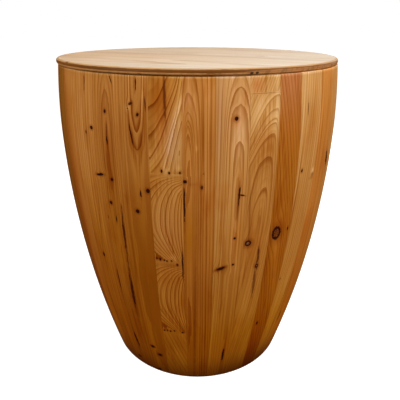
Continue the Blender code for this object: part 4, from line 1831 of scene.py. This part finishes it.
class TABLE_OT_planks(bpy.types.Operator):
    """Build the edge-glued planks of the lid"""

    bl_idname = "drum_table.planks"
    bl_label = "Lid planks"

    def execute(self, context):
        lid = settings().lid
        colours = settings().colours
        turn = lid.grain_angle
        rim_sides = ((-math.sin(turn), -math.cos(turn)), (math.cos(turn), -math.sin(turn)))
        material = board_wood("lid_wood", LID_LOOK, colours, rim_sides)
        for index, (sides, board) in enumerate(zip(plank_lines(lid), lid_boards())):
            shape = turned_board(lid_profile(lid), LID_SEGMENTS, *inset(sides, lid.glue_line / 2))
            name = f"lid_plank_{index + 1}"
            piece = mesh_object(f"dressed_{name}", shape, material)
            mesh = piece.data
            x, y, z = np.array([vert.co for vert in mesh.vertices]).T
            depth = lid.thickness - z
            write_layer(mesh, GRAIN, np.column_stack((y - between(sides, lid.radius), x, depth)))
            write_layer(mesh, RIM, np.column_stack((x, y, depth)) / MM)
            write_layer(mesh, RAW, np.zeros(len(x)))
            dress_board(mesh, board, FIRST_PLANK_NUMBER + index, colours.lid, None, LID_CELL)
            mesh.transform(lid_place(lid))
            place_piece(piece, LID, name)
        return {"FINISHED"}


def screw_places(lid, side):
    """Where one batten's screws stand in the lid: one in the middle of each plank."""
    x = side * lid.batten_spacing / 2
    return [(x, between(sides, lid.batten_length / 2), 0.0) for sides in plank_lines(lid)]


def head_height(lid):
    """Height of the screw heads' faces in the lid's own frame."""
    return -lid.batten_gap - lid.batten_depth + lid.screw_sunk


def screw_hole_profile(lid):
    """A countersunk hole with its clearance, from its end to past the batten's face."""
    face = head_height(lid)
    shank = lid.screw_shank + lid.screw_hole
    head = lid.screw_head + lid.screw_hole
    end = face + lid.screw_length + lid.screw_hole
    below = face - lid.screw_sunk - lid.screw_hole
    return [(0.0, end), (shank, end), (shank, face + head - shank), (head, face), (head, below), (0.0, below)]


# The battens' sides and heart line, and how finely their arrises and the screws are divided.
BATTEN_SIDES = (-1, 1)
BATTEN_HEART = HeartLine(0.02, -0.05, 0.0030)
ARRIS_STEPS = 3
SCREW_SEGMENTS = 24


def batten_shape(lid, middle):
    """A bmesh of one batten with rounded lower edges and ends."""
    shape = bmesh.new()
    bmesh.ops.create_cube(shape, size=1.0)
    size = Matrix.Diagonal((lid.batten_width, lid.batten_length, lid.batten_depth, 1.0))
    bmesh.ops.transform(shape, matrix=Matrix.Translation(middle) @ size, verts=shape.verts[:])
    low_edges = [edge for edge in shape.edges if max(vert.co.z for vert in edge.verts) < middle.z]
    upright = [edge for edge in shape.edges if edge.verts[0].co.xy == edge.verts[1].co.xy]
    bmesh.ops.bevel(
        shape,
        geom=low_edges + upright,
        offset=lid.batten_arris,
        segments=ARRIS_STEPS,
        profile=0.5,
        affect="EDGES",
    )
    return shape


class TABLE_OT_battens(bpy.types.Operator):
    """Build the two battens under the lid, with a countersunk hole for each screw"""

    bl_idname = "drum_table.battens"
    bl_label = "Battens"

    def execute(self, context):
        lid = settings().lid
        turn = lid.grain_angle + math.pi / 2
        for index, side in enumerate(BATTEN_SIDES):
            heart = HeartLine(BATTEN_HEART.across * side, BATTEN_HEART.height + lid.seat, BATTEN_HEART.ring)
            material = plain_wood(f"batten_wood_{index + 1}", BATTEN_LOOK, settings().colours, turn, heart)
            middle = Vector((side * lid.batten_spacing / 2, 0.0, -lid.batten_gap - lid.batten_depth / 2))
            name = f"lid_batten_{index + 1}"
            piece = mesh_object(f"dressed_{name}", batten_shape(lid, middle), material)
            holes = bmesh.new()
            for place in screw_places(lid, side):
                add_turned(holes, screw_hole_profile(lid), SCREW_SEGMENTS, place)
            cutter = mesh_object("batten_holes", holes, material)
            drill = piece.modifiers.new("drill", "BOOLEAN")
            drill.operation = "DIFFERENCE"
            drill.object = cutter
            settle(piece)
            bpy.data.objects.remove(cutter)
            piece.data.transform(lid_place(lid))
            place_piece(piece, LID, name)
        return {"FINISHED"}


# Inputs of the screw tree that have the names of the lid's properties.
SCREW_SIZES = ("Screw Head", "Screw Shank", "Screw Length", "Screw Tip", "Slot Width", "Slot Depth")

# A screw's parts: how far each runs into the next, the shank's and the tip's radii, and its slot's length.
SCREW_LAP = 0.25
SHANK_SHARE = 0.98
TIP_SHARES = (0.96, 0.12)
SLOT_SHARE = 1.15


def screw_tree():
    """Geometry Nodes tree of the screws: a countersunk screw with a cross slot at each point, head down."""
    inputs = {GEOMETRY: ("Points",), WHOLE: ("Segments",), FLOAT: SCREW_SIZES, MATERIAL: ("Material",)}
    sheet, identifiers, given = geometry_tree("countersunk_screws", inputs)
    shank_radius = given["Screw Shank"]
    sink = given["Screw Head"] - shank_radius
    shank_length = given["Screw Length"] - sink - given["Screw Tip"]
    lap = sink * SCREW_LAP

    def cone(low_radius, high_radius, depth, height):
        sizes = {"Radius Top": high_radius, "Radius Bottom": low_radius, "Depth": depth}
        shape = sheet.add("GeometryNodeMeshCone", {"Vertices": given["Segments"], **sizes})
        move = {"Geometry": sheet.out(shape, "Mesh"), "Translation": sheet.vector(0.0, 0.0, height)}
        return sheet.out(sheet.add("GeometryNodeTransform", move))

    def joined(shapes):
        union = sheet.add("GeometryNodeMeshBoolean", operation="UNION")
        for shape in shapes:
            sheet.plug(union.inputs["Mesh 2"], shape)
        return sheet.out(union, "Mesh")

    def slot_box(length, width):
        size = sheet.vector(length, width, given["Slot Depth"] * 2.0)
        return sheet.out(sheet.add("GeometryNodeMeshCube", {"Size": size}), "Mesh")

    head = cone(given["Screw Head"], shank_radius, sink, 0.0)
    width = shank_radius * SHANK_SHARE
    shank = cone(width, width, shank_length + lap, sink - lap)
    tip_radii = [shank_radius * share for share in TIP_SHARES]
    tip = cone(*tip_radii, given["Screw Tip"] + lap, sink + shank_length - lap)
    slot_length = given["Screw Head"] * SLOT_SHARE
    cross = (slot_box(slot_length, given["Slot Width"]), slot_box(given["Slot Width"], slot_length))
    slotted = sheet.add(
        "GeometryNodeMeshBoolean",
        {"Mesh 1": joined((head, shank, tip)), "Mesh 2": joined(cross)},
        operation="DIFFERENCE",
    )
    copies = sheet.add(
        "GeometryNodeInstanceOnPoints",
        {"Points": given["Points"], "Instance": sheet.out(slotted, "Mesh")},
    )
    end_tree(sheet, sheet.out(copies), given["Material"])
    return sheet.tree, identifiers


class TABLE_OT_screws(bpy.types.Operator):
    """Build the screws that hold the battens to the planks"""

    bl_idname = "drum_table.screws"
    bl_label = "Screws"

    def execute(self, context):
        lid = settings().lid
        tree, identifiers = screw_tree()
        values = sizes_by_label(lid, SCREW_SIZES)
        values["Segments"] = SCREW_SEGMENTS
        values["Material"] = screw_steel(settings().colours)
        places = [place for side in BATTEN_SIDES for place in screw_places(lid, side)]
        for number, (x, y, _) in enumerate(places, 1):
            name = f"lid_screw_{number:02d}"
            points = [(x, y, head_height(lid))]
            piece = grown_object(f"dressed_{name}", tree, identifiers, values, points)
            piece.data.transform(lid_place(lid))
            place_piece(piece, LID, name)
        return {"FINISHED"}


# Plain white, and the width of the camera's film in millimetres.
WHITE = (1.0, 1.0, 1.0, 1.0)
SENSOR_WIDTH = 36.0


@dataclass
class Lamp:
    """A soft square light: its place, the height on the axis that it looks at, its size and its colour."""

    place: tuple
    aim: float
    size: float
    colour: tuple = WHITE[:3]


LAMPS = {
    "top_light": Lamp((0.25, -0.35, 1.9), 0.4, 1.6),
    "key_light": Lamp((1.7, -1.5, 1.15), 0.35, 1.2, (1.0, 0.985, 0.96)),
    "fill_light": Lamp((-1.75, -1.25, 1.0), 0.35, 1.4),
    "back_light": Lamp((0.3, 1.9, 0.27), 0.27, 0.5),
}


def area_light(name, lamp, power):
    """Set up one of the lamps."""
    light = bpy.data.lights.new(name, "AREA")
    light.shape = "SQUARE"
    light.size = lamp.size
    light.energy = power
    light.color = lamp.colour
    holder = new_object(name, light)
    holder.location = lamp.place
    gaze = Vector((0.0, 0.0, lamp.aim)) - Vector(lamp.place)
    holder.rotation_euler = gaze.to_track_quat("-Z", "Y").to_euler()


# Clouds per metre of the floor, their strength, and the floor's roughness, shine and own glow.
FLOOR_CLOUDS = 1.5
CLOUD_STRENGTH = 0.2
FLOOR_ROUGH = 0.9
FLOOR_SPECULAR = 0.1
FLOOR_GLOW = 0.93


def floor_material(colours):
    """Pale matt floor with the faintest unevenness."""
    material, sheet = new_material("studio_floor")
    x, y, z = sheet.parts(sheet.place())
    cloud = sheet.noise(sheet.vector(x * FLOOR_CLOUDS, y * FLOOR_CLOUDS, z), 3.0)
    inputs = {
        "Base Color": sheet.mix(cloud * CLOUD_STRENGTH, rgba(colours.floor), rgba(colours.floor_cloud)),
        "Roughness": FLOOR_ROUGH,
        "Specular IOR Level": FLOOR_SPECULAR,
        "Emission Color": WHITE,
        "Emission Strength": FLOOR_GLOW,
    }
    shader = sheet.add("ShaderNodeBsdfPrincipled", inputs)
    sheet.add("ShaderNodeOutputMaterial", {"Surface": sheet.out(shader)})
    return material


# The light all round by direction: the sky's start, full height and least and most light; the brighter wall
# behind, how far round and between which heights it shows, and its light at the middle and towards the right.
SKY_WHITE = (1.0, 0.99, 0.97, 1.0)
SKY = (-0.10, 0.60, 0.12, 1.0)
WALL_ROUND = (0.2, 0.9)
WALL_FOOT = (-0.02, 0.02)
WALL_TOP = (0.55, 0.15)
WALL_LIGHT = 2.2
WALL_RIGHT = 3.5


def studio_world(strength):
    """White to the camera, and for everything else a soft light from above with a brighter wall behind."""
    world = bpy.data.worlds.new("studio")
    world.use_nodes = True
    world.node_tree.nodes.clear()
    sheet = NodeSheet(world.node_tree)
    x, y, z = sheet.parts(sheet.out(sheet.add("ShaderNodeTexCoord"), "Generated"))
    wall = sheet.smooth(y, *WALL_ROUND) * sheet.smooth(z, *WALL_FOOT) * sheet.smooth(z, *WALL_TOP)
    light = sheet.smooth(z, *SKY) + wall * (WALL_LIGHT + x * WALL_RIGHT)
    soft = sheet.add("ShaderNodeBackground", {"Color": SKY_WHITE, "Strength": light * strength})
    white = sheet.add("ShaderNodeBackground", {"Color": WHITE, "Strength": 1.0})
    seen = sheet.out(sheet.add("ShaderNodeLightPath"), "Is Camera Ray")
    both = sheet.add("ShaderNodeMixShader", {0: seen, 1: sheet.out(soft), 2: sheet.out(white)})
    sheet.add("ShaderNodeOutputWorld", {"Surface": sheet.out(both)})
    return world


class TABLE_OT_stage(bpy.types.Operator):
    """Set up the floor, the light and the camera"""

    bl_idname = "drum_table.stage"
    bl_label = "Stage"

    def execute(self, context):
        stage = settings().stage
        scene = context.scene
        shape = bmesh.new()
        bmesh.ops.create_grid(shape, x_segments=2, y_segments=2, size=stage.floor_size / 2)
        floor = mesh_object("studio_floor", shape, floor_material(settings().colours))
        floor.visible_diffuse = False
        floor.visible_glossy = False

        for name, lamp in LAMPS.items():
            area_light(name, lamp, getattr(stage, name))
        scene.world = studio_world(stage.surroundings)
        scene.view_settings.view_transform = "Standard"

        camera = bpy.data.cameras.new("camera")
        camera.sensor_fit = "HORIZONTAL"
        camera.sensor_width = SENSOR_WIDTH
        camera.lens = stage.lens
        camera.shift_x = stage.shift
        eye = new_object("camera", camera)
        eye.location = (0.0, -stage.distance, stage.camera_height)
        lean = Matrix.Rotation(stage.roll, 3, "Z")
        eye.rotation_euler = (Euler((math.pi / 2 - stage.pitch, 0.0, 0.0)).to_matrix() @ lean).to_euler()
        scene.camera = eye
        return {"FINISHED"}


class DrumTable(bpy.types.PropertyGroup):
    """All settings of the table."""

    drum: PointerProperty(type=DrumSizes, name="Drum", description="Sizes of the drum")
    lid: PointerProperty(type=LidSizes, name="Lid", description="Sizes of the lid")
    colours: PointerProperty(type=WoodColours, name="Colours", description="Colours of the finishes")
    stage: PointerProperty(type=StageSettings, name="Stage", description="Camera and light")


BUILD_ORDER = (
    TABLE_OT_stage, TABLE_OT_staves, TABLE_OT_bottom, TABLE_OT_planks, TABLE_OT_battens, TABLE_OT_screws,
)


class VIEW3D_PT_drum_table(bpy.types.Panel):
    """Lists the steps that build the table"""

    bl_label = "Drum Table"
    bl_space_type = "VIEW_3D"
    bl_region_type = "UI"
    bl_category = "Drum Table"

    def draw(self, context):
        for step in BUILD_ORDER:
            self.layout.operator(step.bl_idname)


CLASSES = (DrumSizes, LidSizes, WoodColours, StageSettings, DrumTable, *BUILD_ORDER, VIEW3D_PT_drum_table)


def register():
    """Register the classes and the settings."""
    for item in CLASSES:
        bpy.utils.register_class(item)
    bpy.types.Scene.drum_table = PointerProperty(type=DrumTable)


def unregister():
    """Remove the settings and the classes."""
    del bpy.types.Scene.drum_table
    for item in reversed(CLASSES):
        bpy.utils.unregister_class(item)


def write_sizes():
    """Bring the scene's placements up to date."""
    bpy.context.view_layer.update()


def main():
    """Build the table and its stage."""
    register()
    bpy.ops.drum_table.stage()
    bpy.ops.drum_table.staves()
    bpy.ops.drum_table.bottom()
    bpy.ops.drum_table.planks()
    bpy.ops.drum_table.battens()
    bpy.ops.drum_table.screws()
    write_sizes()


if __name__ == "__main__":
    main()
